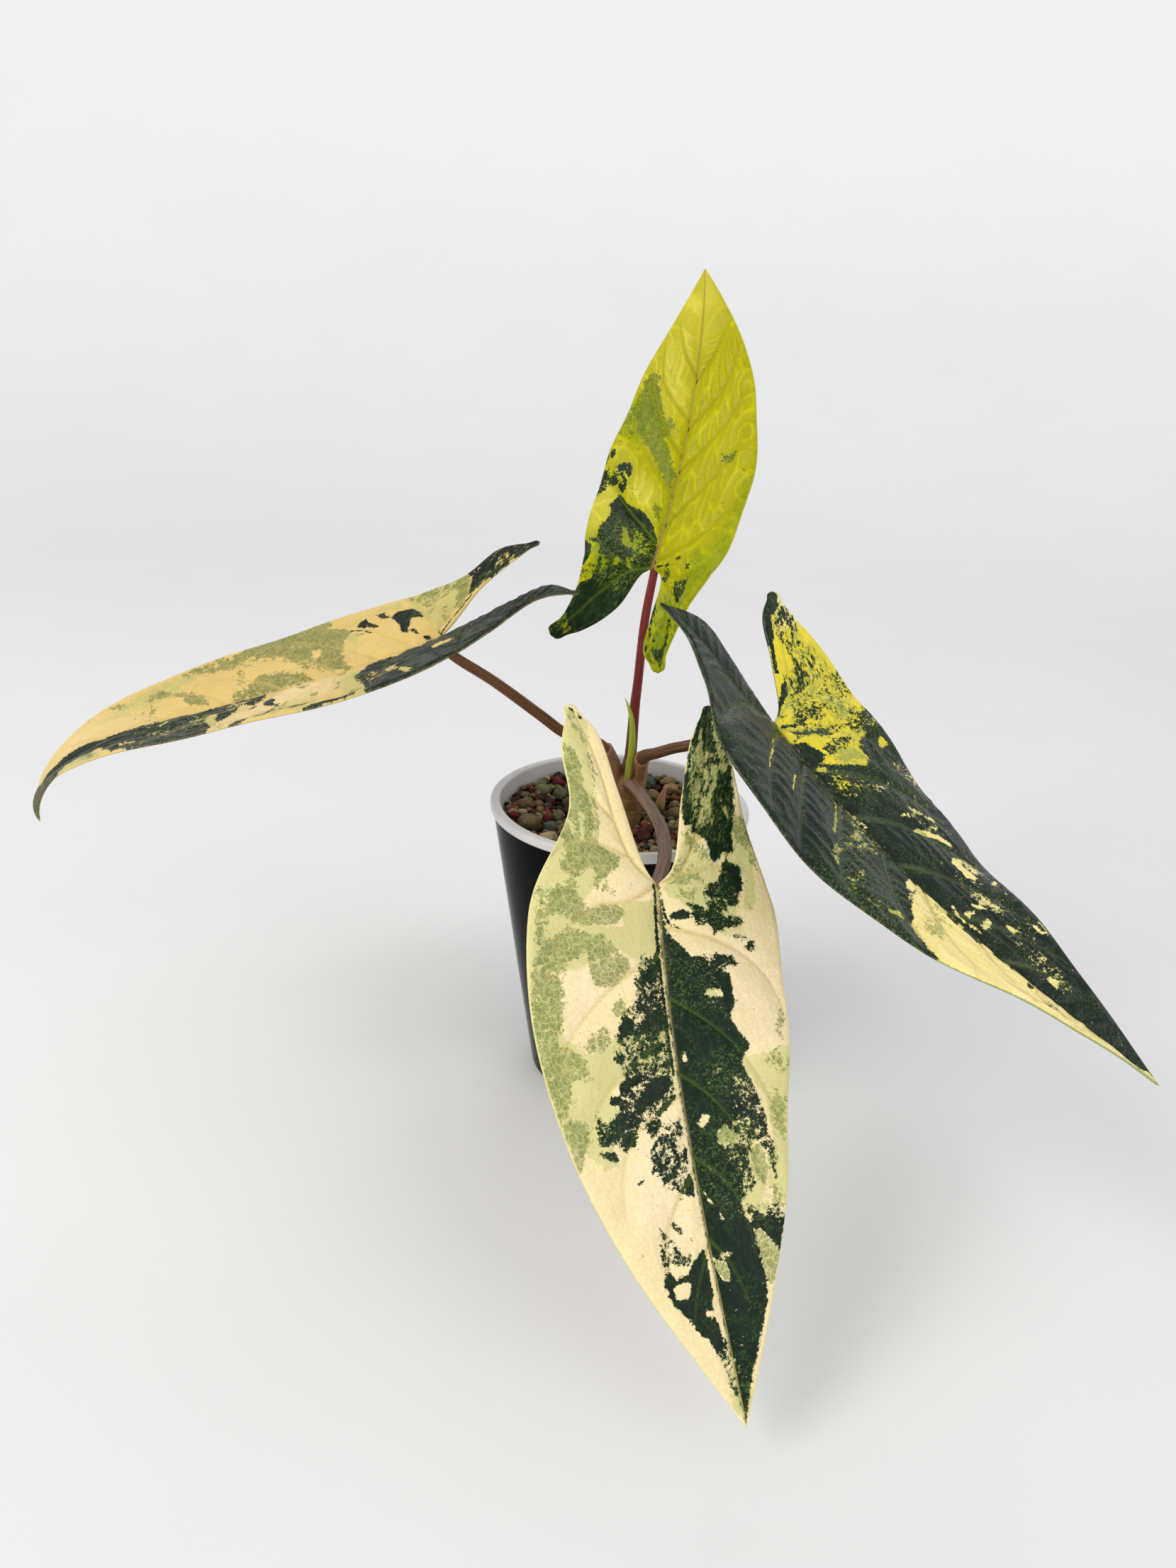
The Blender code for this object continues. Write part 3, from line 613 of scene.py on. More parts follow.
# Distance from flat points to the borders between cells that are scattered over the plane.
def cellBorders(x, y, seed):
    column, row = np.floor(x), np.floor(y)
    gaps = []
    for shiftX in (-1, 0, 1):
        for shiftY in (-1, 0, 1):
            cx, cy = column + shiftX, row + shiftY
            px = cx + 0.15 + 0.7 * scattered(cx, cy, seed, (127.1, 311.7, 74.7, 43758.5453))
            py = cy + 0.15 + 0.7 * scattered(cx, cy, seed, (269.5, 183.3, 31.3, 28001.8384))
            gaps.append(np.hypot(x - px, y - py))
    gaps = np.sort(np.stack(gaps), axis=0)
    return gaps[1] - gaps[0]


# Widths and lengths of the relief on every blade, in millimetres; stripSteps set the strips between two
# veins apart from each other, and uneven holds the share and the two rates of the ridges' waxing and waning.
reliefRule = dict(
    veinWidth=0.22, veinGrowth=0.36, veinFade=0.65, quiltReach=3.4, stripSteps=(13.7, 5.3), arc=1.3,
    ripple=(0.4, 0.9), uneven=(0.3, 0.8, 0.45), fromVein=1.4, fromTip=22.0, fromRib=3.0, ridgeWidth=0.30,
    crestWidth=0.14, fullCrest=0.18, netCell=2.9, netWidth=0.16, netBend=((0.2, 0.5), (0.2, 0.6)))


# Height of the blade's upper side over its smooth sheet, with the shares of vein lines and of the ridge
# crests that carry a painted sheen.
def veinRelief(leaf, side, x, y, seed):
    rule, relief = reliefRule, leaf["relief"]
    signed = side * x
    veins = [curveThrough(line, 6) for line in leaf["veins"]["left" if side < 0 else "right"]]
    lines = np.zeros(x.shape)
    gaps, runs = [], []
    for line in veins:
        gap, run = nearLine(signed, y, line)
        fade = 1.0 - rule["veinFade"] * unit(run / travelled(line)[-1])
        lines = np.maximum(lines, fade * bell(gap, rule["veinWidth"] + rule["veinGrowth"] * fade))
        gaps.append(gap)
        runs.append(run)
    order = np.argsort(np.stack(gaps), axis=0)[:2]
    near = np.take_along_axis(np.stack(gaps), order, 0)
    run = np.take_along_axis(np.stack(runs), order, 0)
    nearest = np.where((y > 0) & (x < near[0]), x, near[0])
    quilt = 1.0 - bell(nearest, rule["quiltReach"])
    # across counts from the vein with the lower number to its neighbour, along runs with both of them
    apart = np.maximum(near[0] + near[1], 1e-6)
    along = (run[0] * near[1] + run[1] * near[0]) / apart
    across = np.where(order[0] < order[1], near[0], near[1])
    strip = rule["stripSteps"][0] * order.min(axis=0) + rule["stripSteps"][1] * order.max(axis=0)
    rippleHeight, rippleRate = rule["ripple"]
    bent = along + rule["arc"] * np.sin(math.pi * across / apart)
    bent = bent + rippleHeight * np.sin(across * rippleRate + strip)
    step, reach = relief["ladderStep"], relief["ladderReach"]
    gap = cellBorders(bent / step, across / (reach * step) + strip, seed + 5)
    clear = unit(nearest / rule["fromVein"]) * unit((leaf["length"] - y) / rule["fromTip"])
    clear = clear * unit(x / rule["fromRib"])
    share, alongRate, acrossRate = rule["uneven"]
    waxing = np.sin(alongRate * along + strip) * np.sin(acrossRate * across + 2.0 * strip)
    uneven = 1.0 - share + share * waxing
    rounded = bell(gap, rule["ridgeWidth"]) * clear
    crest = bell(gap, rule["crestWidth"]) * clear * uneven
    amount = relief["ladder"][0 if side < 0 else 1]
    cell, (bendX, bendY) = rule["netCell"], rule["netBend"]
    netX = signed / cell + bendX[0] * np.sin(y * bendX[1])
    netY = y / cell + bendY[0] * np.sin(signed * bendY[1])
    net = bell(cellBorders(netX, netY, seed), rule["netWidth"])
    height = relief["quilt"] * quilt - relief["groove"] * lines + amount * rounded - relief["net"] * net
    return height, lines, crest * min(1.0, amount / rule["fullCrest"])


# Both faces of a half leaf: rows of points with the shares and places that the surface reads.
def halfBlocks(leaf, midrib, side, frontRows, lobeRows, seed):
    rule, relief = leafRule, leaf["relief"]
    inner, outer, fractions = halfRows(leaf, leaf["left" if side < 0 else "right"], frontRows, lobeRows)
    steps = np.linspace(0.0, 1.0, rule["columns"] + 1)
    share = steps - rule["crowding"] * np.sin(fullTurn * steps) / fullTurn
    reach = np.linalg.norm(outer - inner, axis=1)[:, None]
    x = inner[:, :1] + (outer[:, :1] - inner[:, :1]) * share
    y = inner[:, 1:] + (outer[:, 1:] - inner[:, 1:]) * share ** rule["fan"]
    fraction = fractions[:, None]
    wave = relief["wave"] * share ** 2 * np.sin(fullTurn * rule["waveCount"] * fraction + side)
    wave = wave * np.sin(math.pi * fraction)
    # gap is the distance to the margin, or to the notch between the lobes where that is nearer
    lobeRow = (np.arange(len(inner)) > frontRows)[:, None]
    gap = (1.0 - share) * reach
    gap = np.where(lobeRow, np.minimum(gap, share * reach), gap)
    bead = np.sqrt(unit(1.0 - (1.0 - unit(gap / rule["bead"])) ** 2))
    rowShare = unit(np.arange(len(inner)) / frontRows)[:, None]
    slim = unit(reach / rule["slimReach"])
    behind = np.where(lobeRow, np.exp(y / rule["ribBehind"]), 1.0)
    rib = np.cos(0.5 * math.pi * unit(x / rule["keelHalfWidth"])) ** 2
    rib = rib * np.where(lobeRow, np.exp(y / rule["keelBehind"]), 0.2 + 0.8 * rowShare) * slim
    channel = bell(x, rule["channelWidth"][0] + rule["channelWidth"][1] * rowShare) * behind * slim
    height, lines, crest = veinRelief(leaf, side, x, y, seed)
    settle = unit(gap / rule["settle"]) * slim
    rollHeight, rollPlace, rollWidth = rule["roll"]
    rolled = rollHeight * bell(gap - rollPlace, rollWidth) * slim
    thickness = rule["halfThickness"] * bead
    top = wave + thickness + (height * settle - relief["channel"] * channel + rolled) * bead
    keel = rule["keelDepth"] * rib + relief["groove"] * rule["veinKeel"] * lines * settle
    under = wave - thickness + (rule["underRelief"] * height * settle - keel) * bead
    top = np.maximum(top, under + rule["thinnest"] * bead)
    painted = {key + "Share": paint(side * x, y, leaf[key], spread)
               for key, spread in rule["spreads"].items()}
    ribWidth = rule["ribWidth"] + (relief["ribWidth"] - rule["ribWidth"]) * rowShare ** 3
    # on the lobes the marbling runs outward with them
    lobeRun = np.clip(-rule["lobeFrom"] - y, 0.0, None)
    level = np.full_like(x, seed * rule["placeStep"])
    flowX, flowY = rule["lobeFlow"]
    shared = dict(
        painted, veinShare=lines, ribShare=np.exp(-(x / ribWidth) ** 4) * behind, marginGap=gap,
        flatPlace=np.stack([side * x, y, level], -1),
        grainPlace=np.stack([side * (x - flowX * lobeRun), y + flowY * lobeRun, level], -1))
    blocks = []
    for isUnder, lift in ((0, top), (1, under)):
        points = midrib.place(side, x.ravel(), y.ravel(), lift.ravel()).reshape(*x.shape, 3)
        points[:frontRows + 1, 0] = midrib.middle(y[:frontRows + 1, 0], lift[:frontRows + 1, 0])
        # the painted sheen on the ridge crests goes on the upper face only
        blocks.append(dict(shared, points=points, ridgeShare=crest * (1 - isUnder),
                           underShare=np.full_like(x, isUnder)))
    return blocks


def buildLeaf(name, nodeName, slotName, leaf, finish, seed):
    midrib = Midrib(leaf)
    frontRows = round(leaf["length"] / leafRule["rowStep"])
    lobeRows = round(midrib.lobe / leafRule["rowStep"])
    columns = leafRule["columns"]
    grid = np.arange((frontRows + lobeRows + 1) * (columns + 1)).reshape(-1, columns + 1)
    cell = np.stack([grid[:-1, :-1], grid[1:, :-1], grid[1:, 1:], grid[:-1, 1:]], -1).reshape(-1, 4)
    blocks = []
    for side in (-1, 1):
        blocks += halfBlocks(leaf, midrib, side, frontRows, lobeRows, seed)
    # the left half's upper face and the right half's under face are wound the other way round
    faces = [(cell[:, ::-1] if number in (0, 3) else cell) + number * grid.size for number in range(4)]
    joined = {key: np.concatenate([block[key] for block in blocks]) for key in blocks[0]}
    piece = makeMesh(
        name, joined["points"].reshape(-1, 3), faces, bladeMaterial(name + "Finish", finish),
        values={key: joined[key] for key in bladeShares}, vectors={key: joined[key] for key in bladePlaces},
        weld=leafRule["weld"])
    standFor(piece, slotName, nodeName)
    print(name, "has", len(piece.data.polygons), "faces")
    return midrib


leafFront = dict(
    at=(10.5, -86.0, 128.0), heading=-83.5, pitch=-43.5, roll=-4.5, length=151.5, arch=11.5, tipArch=2.5,
    lobeLift=9.0, sway=-17.0, tipSway=6.0, twist=1.5, lobeTwist=-5.0,
    left=dict(
        width=38.5, lobe=63.5, outer=(30.0, 27.0, 22.5), sinus=(5.0, 10.0, 16.0), blunt=2.4,
        fold=(12, 5, 1, 7), curl=(-5, -17, -17, 1)),
    right=dict(
        width=42.0, lobe=64.5, outer=(28.0, 29.0, 25.5), sinus=(4.0, 11.0, 17.0), blunt=2.5,
        fold=(10, 13, 9, 8), curl=(-9, -8, -5, -5)),
    relief=dict(
        quilt=0.68, groove=0.70, ladder=(0.10, 0.10), net=0.04, channel=0.45, ladderStep=5.0,
        ladderReach=2.0, wave=0.7, ribWidth=0.45),
    veins=dict(
        left=(
            ((0, 13), (-15, 17), (-25, 22), (-33, 30), (-37, 40)),
            ((0, 35), (-10, 42), (-20, 52), (-27, 65), (-30, 75)),
            ((0, 57), (-8, 64), (-15, 74), (-20, 85), (-22, 93)),
            ((0, 80), (-8, 88), (-12, 97), (-13, 110)), ((0, 102), (-5, 110), (-8, 121)),
            ((0, 0), (-7, -4), (-13, -15), (-17, -32), (-20, -50), (-22, -61)),
            ((-7, -3), (-18, -6), (-28, -8)), ((-13, -14), (-20, -22), (-27, -32))),
        right=(
            ((0, 0), (10, 6), (20, 8), (30, 15), (38, 30)),
            ((0, 22), (12, 28), (25, 38), (32, 46), (37, 58)),
            ((0, 44), (8, 50), (18, 56), (26, 64), (31, 74)),
            ((0, 63), (8, 67), (16, 72), (21, 80), (23, 92)), ((0, 84), (6, 90), (12, 99), (15, 110)),
            ((0, 104), (5, 112), (9, 122)), ((0, 0), (8, -7), (13, -20), (16, -35), (20, -50), (24, -61)),
            ((8, -8), (20, -12), (28, -12), (34, -7)), ((13, -20), (20, -28), (27, -36)))),
    dark=(
        (1.0, 0.8, ((0, 150), (-3, 143), (-5, 138), (-7, 133), (-9, 129), (-13, 121), (-14, 117),
                    (-14, 112), (-13.5, 102), (-12, 95), (-17, 91), (-16.5, 84), (-20, 79), (-24.5, 79),
                    (-25, 69), (-22, 61), (-20, 56), (-23.5, 51), (-20, 46), (-18.5, 42), (-20.5, 37),
                    (-20, 29), (-14, 27), (-13, 23), (-8, 23), (-6, 20), (-2, 16), (-1, 10), (-0.8, 0),
                    (0, 0), (0.4, 40), (0.4, 130))),
        (0.88, 0.8, ((-20, 110), (-16, 103.5), (-13, 102), (-12, 95), (-18, 96), (-22, 97), (-24, 101),
                     (-22, 105))),
        (0.85, 0.6, ((-24, 91), (-23, 91), (-22, 82), (-20, 79), (-25, 79), (-25.5, 84))),
        (0.76, 0.8, ((-23, 26), (-18, 27.5), (-15, 29), (-13, 24), (-16, 22), (-22, 23))),
        (0.8, 0.7, ((-30, 20), (-29, 21.5), (-27, 21.5), (-26, 20), (-28, 18), (-29, 17.5))),
        (0.66, 0.6, ((-27, 17), (-23.5, 16.7)), 2.0),
        (0.84, 0.9, ((-27, 12), (-24, 14), (-19, 15), (-17.5, 16.5), (-16, 16), (-16, 13), (-11, 13.5),
                     (-10, 11), (-10, 8.5), (-8, 6.5), (-9.5, 5.5), (-15, 8), (-18, 9), (-21, 10),
                     (-25, 10))),
        (1.0, 0.5, ((-9.5, 11), (-6, 11.3), (-3, 11), (-3, 9.5), (-7, 8.3), (-9.5, 9))),
        (0.75, 0.4, ((-6, 14), (-3, 13), (-1.5, 10), (-1, 5)), 0.9),
        (0.7, 0.8, ((-22, 9), (-15, 9), (-14, 5), (-21, 4))),
        (0.92, 0.9, ((-25, 7), (-22, 7), (-21, 5), (-18, 4), (-19, 0), (-20, -4), (-22.5, -9), (-27, -7),
                     (-27.5, 0), (-26, 3))),
        (0.74, 0.9, ((-19, 5), (-14, 4), (-14, 1), (-17, -1), (-20, -2))),
        (0.97, 0.9, ((-25, -11), (-21, -11), (-18.5, -7), (-17, -11), (-16.5, -15), (-14, -17), (-12, -17),
                     (-12, -20), (-9.8, -20), (-9.5, -26), (-11, -37), (-14, -47), (-18, -58), (-22.5, -66),
                     (-26, -56), (-27, -36), (-27, -26), (-25.5, -18))),
        (0.9, 0.4, ((1.9, 57), (1.7, 40), (1.9, 30), (1.7, 12), (1.1, 0)), 1.3),
        (0.57, 1.2, ((1.5, 20), (8, 23), (11, 28), (11, 35), (16, 39), (19, 45), (19, 52), (17, 57),
                     (20, 63), (22, 68), (12, 69), (4, 66), (1.5, 62))),
        (0.54, 1.2, ((1.5, 69), (8, 70), (14, 78), (12, 85), (6, 90), (1.5, 92))),
        (0.66, 0.8, ((0, 149), (1.5, 143), (3, 138), (4, 134), (4.5, 130), (3, 126), (0.5, 128))),
        (1.0, 0.7, ((2, 125), (1.5, 130), (4.5, 131), (6, 127), (8, 125.5), (9, 124), (10, 121), (12, 119),
                    (14, 117), (15, 113), (15.5, 110), (15, 108), (13, 108), (12, 110), (9, 109.5),
                    (7, 108), (5, 106), (2, 104), (1.5, 107), (2, 116), (3, 119))),
        (0.53, 0.9, ((6, 108), (15.5, 107), (15.5, 101), (14, 96), (11, 99), (9, 103), (6, 105))),
        (0.66, 0.5, ((8.3, 98.5), (9.6, 96.5)), 2.0),
        (1.0, 0.6, ((1, 86), (1.8, 91), (4, 89.3), (4.3, 87), (2, 84))),
        (0.85, 0.7, ((4, 82), (7, 85), (11, 86.3), (11, 83.8), (8, 83), (6, 80.5), (7, 78), (7, 75),
                     (5.5, 74), (5, 77), (4, 79))),
        (0.62, 0.7, ((10, 83), (14, 83), (13, 79), (10, 76.5), (9, 79))),
        (0.9, 0.5, ((1, 78), (2, 81), (3.3, 80), (2.2, 77))), (0.73, 0.5, ((2.6, 74), (2.8, 71.5)), 1.8),
        (0.7, 0.4, ((16.5, 84), (18, 84.3)), 1.0),
        (0.73, 0.8, ((7, 71.5), (12, 73.5), (13, 70), (10, 68), (7, 69.5))),
        (0.92, 0.4, ((2.5, 63.5), (4, 64.5), (6, 66), (8.5, 67.5)), 1.5),
        (0.85, 0.6, ((22, 78), (25, 77), (28, 75.5), (27, 74.5), (23, 75.5))),
        (0.79, 1.0, ((14.5, 69.5), (16, 74), (20, 76), (22, 73.5), (27, 74), (28, 69), (27, 65), (24, 67.5),
                     (21, 65), (16, 65), (13, 68))),
        (1.0, 0.6, ((3, 59.5), (5, 62), (8, 64), (11, 65), (14, 67), (16, 66), (14.5, 63), (12.5, 61),
                    (11, 58.5), (5, 57), (3, 57))),
        (0.88, 0.6, ((15, 60), (19.3, 61.5), (19.3, 59), (18, 57.5), (13, 55.8), (11, 56.8), (13, 58.5))),
        (0.91, 0.5, ((18, 62), (20.5, 63.8), (23, 63), (22, 61))),
        (0.92, 0.5, ((2, 55.5), (5.3, 55), (3.5, 53.5), (2.5, 52))),
        (0.92, 0.6, ((3, 48), (5, 50.5), (7, 52), (8, 50), (7, 48))),
        (0.77, 0.5, ((7, 50), (11, 51), (14, 53), (13, 55.5)), 1.8),
        (0.95, 0.6, ((15.5, 51), (17, 53), (19.3, 52.8), (20, 51), (18, 50))),
        (0.58, 0.9, ((11, 51), (18, 50), (18, 46), (12, 47))),
        (0.85, 0.8, ((2.5, 44), (5, 46), (9, 46), (15, 46.5), (18, 45), (17, 42), (14, 40.3), (11.5, 42),
                     (9, 40.5), (6, 39), (3, 36), (2, 39))),
        (1.0, 0.5, ((12, 42), (13, 45), (16, 46), (17.8, 43.5), (15.5, 41), (13, 40.3))),
        (0.88, 0.6, ((7, 36.5), (8, 39), (11, 39), (10.5, 37), (8.5, 36))),
        (0.69, 0.8, ((3, 37), (7, 36), (8, 33.5), (6, 31), (3, 31))),
        (0.77, 0.8, ((3, 31), (9, 32.5), (10.3, 30), (9, 27), (6, 25.5), (4, 24), (3, 26))),
        (0.92, 0.5, ((2, 27), (3.5, 24), (3, 21), (2, 20))),
        (0.66, 0.4, ((22, -58.5), (23.5, -61), (25.5, -62.5)), 1.2),
        (-0.95, 0.5, ((-7.5, 70), (-4.5, 73.5), (-3, 72), (-5, 69))),
        (-0.9, 0.7, ((-15, 77), (-12, 79), (-8, 78), (-8, 75), (-11, 73))),
        (-0.9, 0.4, ((-5.8, 98), (-4.5, 98), (-4.5, 96.3))),
        (-0.95, 0.4, ((-3.3, 93.5), (-2, 93), (-1.3, 90))),
        (-1.0, 0.4, ((-4, 114), (-2, 114), (-0.5, 110.5), (-0.3, 107), (-1.2, 108.5), (-3.5, 109),
                     (-4, 111))),
        (-0.5, 0.6, ((-5, 107.5), (-2, 107.5)), 2.4), (-0.9, 0.4, ((-19, 99.5), (-16, 98.5), (-17, 97.3))),
        (-0.95, 0.5, ((-17, 36), (-11, 35.3), (-11.5, 33.5), (-16.5, 33.5))),
        (-0.85, 0.4, ((-2.3, 53.5), (-2.5, 52)), 1.3),
        (-0.95, 0.5, ((8, 113.5), (9, 115), (11, 115.5), (13, 115), (13.3, 112), (11, 111), (8, 111.5))),
        (-0.9, 0.5, ((3.7, 121), (4.8, 120.6)), 1.6),
        (-0.14, 1.5, ((-8, 135), (0, 148), (4, 135), (0, 126))),
        (-0.2, 1.5, ((-20, 63), (-8, 63), (-7, 57), (-14, 54), (-20, 56))),
        (-0.12, 2.0, ((-16, 40), (-2, 36), (-3, 22), (-14, 24))),
        (-0.12, 2.0, ((-20, 97), (-14, 99), (-2, 92), (-1, 78), (-22, 80))),
        (-0.32, 2.0, ((-27, 58), (-15, 60), (-11, 76), (-11, 98), (-26, 102))),
        (-0.8, 0.5, ((-22, -40), (-21, -34), (-17.5, -27)), 1.6),
        (-0.85, 0.5, ((-16, -35), (-15, -30)), 1.2),
        (-0.75, 0.5, ((-19, -55), (-17.5, -47), (-16, -42)), 1.2),
        (-0.52, 1.4, ((-20, -20), (-12, -18), (-12, -40), (-17, -50), (-22, -45), (-19, -30))),
        (-0.5, 1.0, ((-26, -38), (-23, -38), (-22, -60), (-25, -55))),
        (-0.6, 0.6, ((-24.5, -23), (-23.5, -26)), 1.8)),
    sage=(
        (1, 0.7, ((34, 80), (31, 74), (30, 70), (30, 67), (33, 66), (36, 66), (37.5, 68))),
        (0.94, 1.0, ((37, 66), (33, 62), (33, 57), (30, 56), (27, 56), (27, 53), (29, 50), (30, 48.5),
                     (33, 47), (35.5, 46), (34, 43), (34, 38.5), (32, 35), (33, 31), (34, 28), (38, 26),
                     (42, 27), (43.5, 35), (43, 47), (41, 57), (39, 65))),
        (0.74, 0.9, ((20, 47), (22, 49), (26, 49), (30, 48), (27, 44), (20, 42), (19, 44))),
        (1.0, 0.5, ((11, 25.5), (13, 28), (15, 30.5), (18, 31.5), (22, 31.5), (24, 30), (24.5, 27),
                    (24, 25), (20, 24), (16, 22), (12, 23))),
        (0.9, 1.0, ((16, 22), (22, 25), (27, 24), (31, 25), (34, 29), (38, 27), (42, 26), (41, 20),
                    (34, 17), (30, 14.5), (27, 15), (22, 16), (19, 17))),
        (1.0, 0.5, ((12, 11), (15, 13), (20, 14), (25, 14), (30, 13), (31, 12), (28, 10.3), (24, 9),
                    (20, 8), (15, 7), (13, 8.5))),
        (0.9, 0.9, ((24, 9), (30, 11.5), (36, 12), (38, 10), (37, 5), (33, 2.5), (29, 0.5), (26.5, 2),
                    (28, 5), (26, 7))),
        (1.0, 0.4, ((13, 39.5), (17, 40), (19, 38.5), (17.5, 36), (15.5, 34.7), (14, 37))),
        (0.64, 0.8, ((15, 4.5), (19, 4), (23, 3), (22, -1), (17, 1))),
        (0.62, 1.0, ((37, 20), (42, 18), (41, 8), (38, 2), (36, 8))),
        (1, 0.7, ((12, -7), (15, -3), (18, 0), (20.5, 0), (22, -4), (24, -2), (28, 0), (31, -2), (32, -5),
                  (30, -9), (30, -12), (31.5, -14), (30, -19), (28, -24), (28.5, -36), (29.3, -46),
                  (28, -48), (24, -45), (23.2, -38), (21.5, -30), (20.3, -22), (20, -14), (18, -11))),
        (0.68, 0.6, ((19.5, -15), (19, -20), (20, -28), (19, -36), (20.5, -44)), 1.8),
        (0.7, 0.8, ((21.5, -50), (24, -55)), 2.4),
        (0.64, 0.8, ((20, -57), (26, -58), (25.5, -63), (22, -60))),
        (-0.75, 0.5, ((24.3, -13), (24.6, -20), (24.4, -26)), 1.0),
        (-0.6, 0.8, ((27, -14), (29, -17), (27, -20))),
        (1.0, 0.4, ((-20.5, 110), (-18, 113.5), (-15, 118), (-14, 116), (-13.5, 102), (-16, 103.5),
                    (-18, 107))),
        (0.74, 0.9, ((-24.5, 99), (-20, 97), (-21, 91.5), (-23.5, 92))),
        (1, 0.7, ((-22, 90), (-19, 91), (-16.5, 88), (-16.3, 84), (-18, 81), (-20.5, 79.5), (-22, 83))),
        (1, 0.7, ((-15, 77), (-12, 79), (-8, 78), (-8, 75), (-11, 73))),
        (0.86, 1.0, ((-31, 79), (-28, 80), (-26.5, 74), (-27, 68), (-30, 65), (-33, 67), (-32, 74))),
        (0.68, 1.2, ((-35, 62), (-28, 58), (-26, 56), (-29, 53), (-33, 53), (-36, 57))),
        (0.68, 0.7, ((-35, 50), (-33, 48), (-34, 45), (-36, 42)), 1.8),
        (0.78, 0.8, ((-12, 5), (-9, 5.3), (-6, 4), (-7, 2), (-11, 1.5))),
        (0.66, 1.0, ((-15, -1), (-7, 0.5), (-2, 1), (-5, -5), (-9, -10), (-12, -6))),
        (0.72, 1.0, ((-17, -8), (-10, -11), (-10, -17), (-15, -16))),
        (1, 0.7, ((-33, -5), (-30, -9), (-29, -14), (-26, -14), (-25.5, -20), (-27, -24), (-30, -22),
                  (-32, -12))),
        (0.9, 0.9, ((-27, -12), (-25, -12), (-26, -24), (-28, -40), (-26, -56), (-22, -66), (-12, -45),
                    (-9, -24), (-12, -17), (-17, -14), (-20, -10))),
        (1.0, 0.4, ((-4, 114), (-2, 114), (-0.5, 110.5), (-0.3, 107), (-1.2, 108.5), (-3.5, 109),
                    (-4, 111)))),
    green=(
        (1.0, 2.0, ((-22, 64), (-7, 64), (-7, 54), (-20, 52))),
        (0.8, 2.5, ((-16, 42), (-2, 38), (-1, 22), (-14, 24))),
        (0.7, 3.0, ((-20, 99), (-12, 100), (-1, 94), (-1, 70), (-22, 72))),
        (1.0, 3.0, ((-27, -12), (-12, -16), (-9, -30), (-18, -60), (-25, -62))),
        (0.8, 2.0, ((-4, 148), (4, 148), (3, 136), (-4, 136))),
        (1.0, 1.0, ((20, 66), (24, 76), (22, 79.5), (27, 79.5), (31, 75), (40, 68), (45, 40), (45, 10),
                    (37, -8), (31, -18), (30, -48), (28, -64), (20, -57), (20, -46), (19, -12), (12, -6),
                    (20, 2), (26, 8), (20, 14), (13, 14), (12, 20), (22, 25), (34, 28), (34, 44), (26, 50),
                    (20, 46), (16, 46), (14, 52), (18, 58), (22, 60))),
        (1.0, 1.0, ((2, 22), (2, 5), (9, 6), (14, 8), (13, 14), (16, 20), (10, 24))),
        (0.8, 1.2, ((1.5, 43), (1.5, 57), (6, 57), (14, 56), (30, 59), (24, 48), (12, 44))),
        (0.95, 1.2, ((-24, 99), (-21, 91), (-22, 84), (-25, 80), (-26, 68), (-23, 62), (-21, 55), (-36, 52),
                     (-39, 50), (-38, 44), (-40, 60), (-37, 70), (-30, 88))),
        (0.85, 1.0, ((-27, 16), (-23, 18), (-16, 14), (-10, 8), (-3, 4), (-1, 1), (-5, -5), (-10, -18),
                     (-18, -8), (-22, -9), (-28, -3), (-27, 8), (-31, 8), (-32, -6), (-33, -10), (-31, -24),
                     (-27, -20), (-20, -10)))),
    pale=(
        (0.8, 4.0, ((2, 104), (2, 66), (16, 70), (22, 80), (24, 92), (14, 104))),
        (0.9, 4.0, ((-39, 50), (-20, 54), (-20, 30), (-8, 22), (-30, 14), (-40, 20))),
        (0.9, 2.0, ((3, 24), (12, 30), (24, 38), (32, 44), (33, 28), (24, 26), (24, 32), (14, 32))),
        (0.6, 2.0, ((2, -1), (2, 4), (16, 6), (14, -4), (8, -6)))))

leafFrontFinish = dict(
    ground=(0.93, 0.77, 0.43), greenGround=(0.70, 0.65, 0.29), paleGround=(0.95, 0.79, 0.50),
    sage=(0.34, 0.36, 0.12), deepSage=(0.19, 0.23, 0.06), dark=(0.005, 0.016, 0.008),
    fleck=(0.065, 0.115, 0.022), vein=(0.62, 0.49, 0.16), rib=(0.40, 0.34, 0.13), ridge=(1.05, 1.05, 1.08),
    darkRidge=(0.05, 0.075, 0.04), margin=(0.90, 0.76, 0.34), under=(0.52, 0.55, 0.38), roughness=0.46,
    shine=0.16, netAmount=0.66, marginWidth=0.5, greenEdge=0.14)

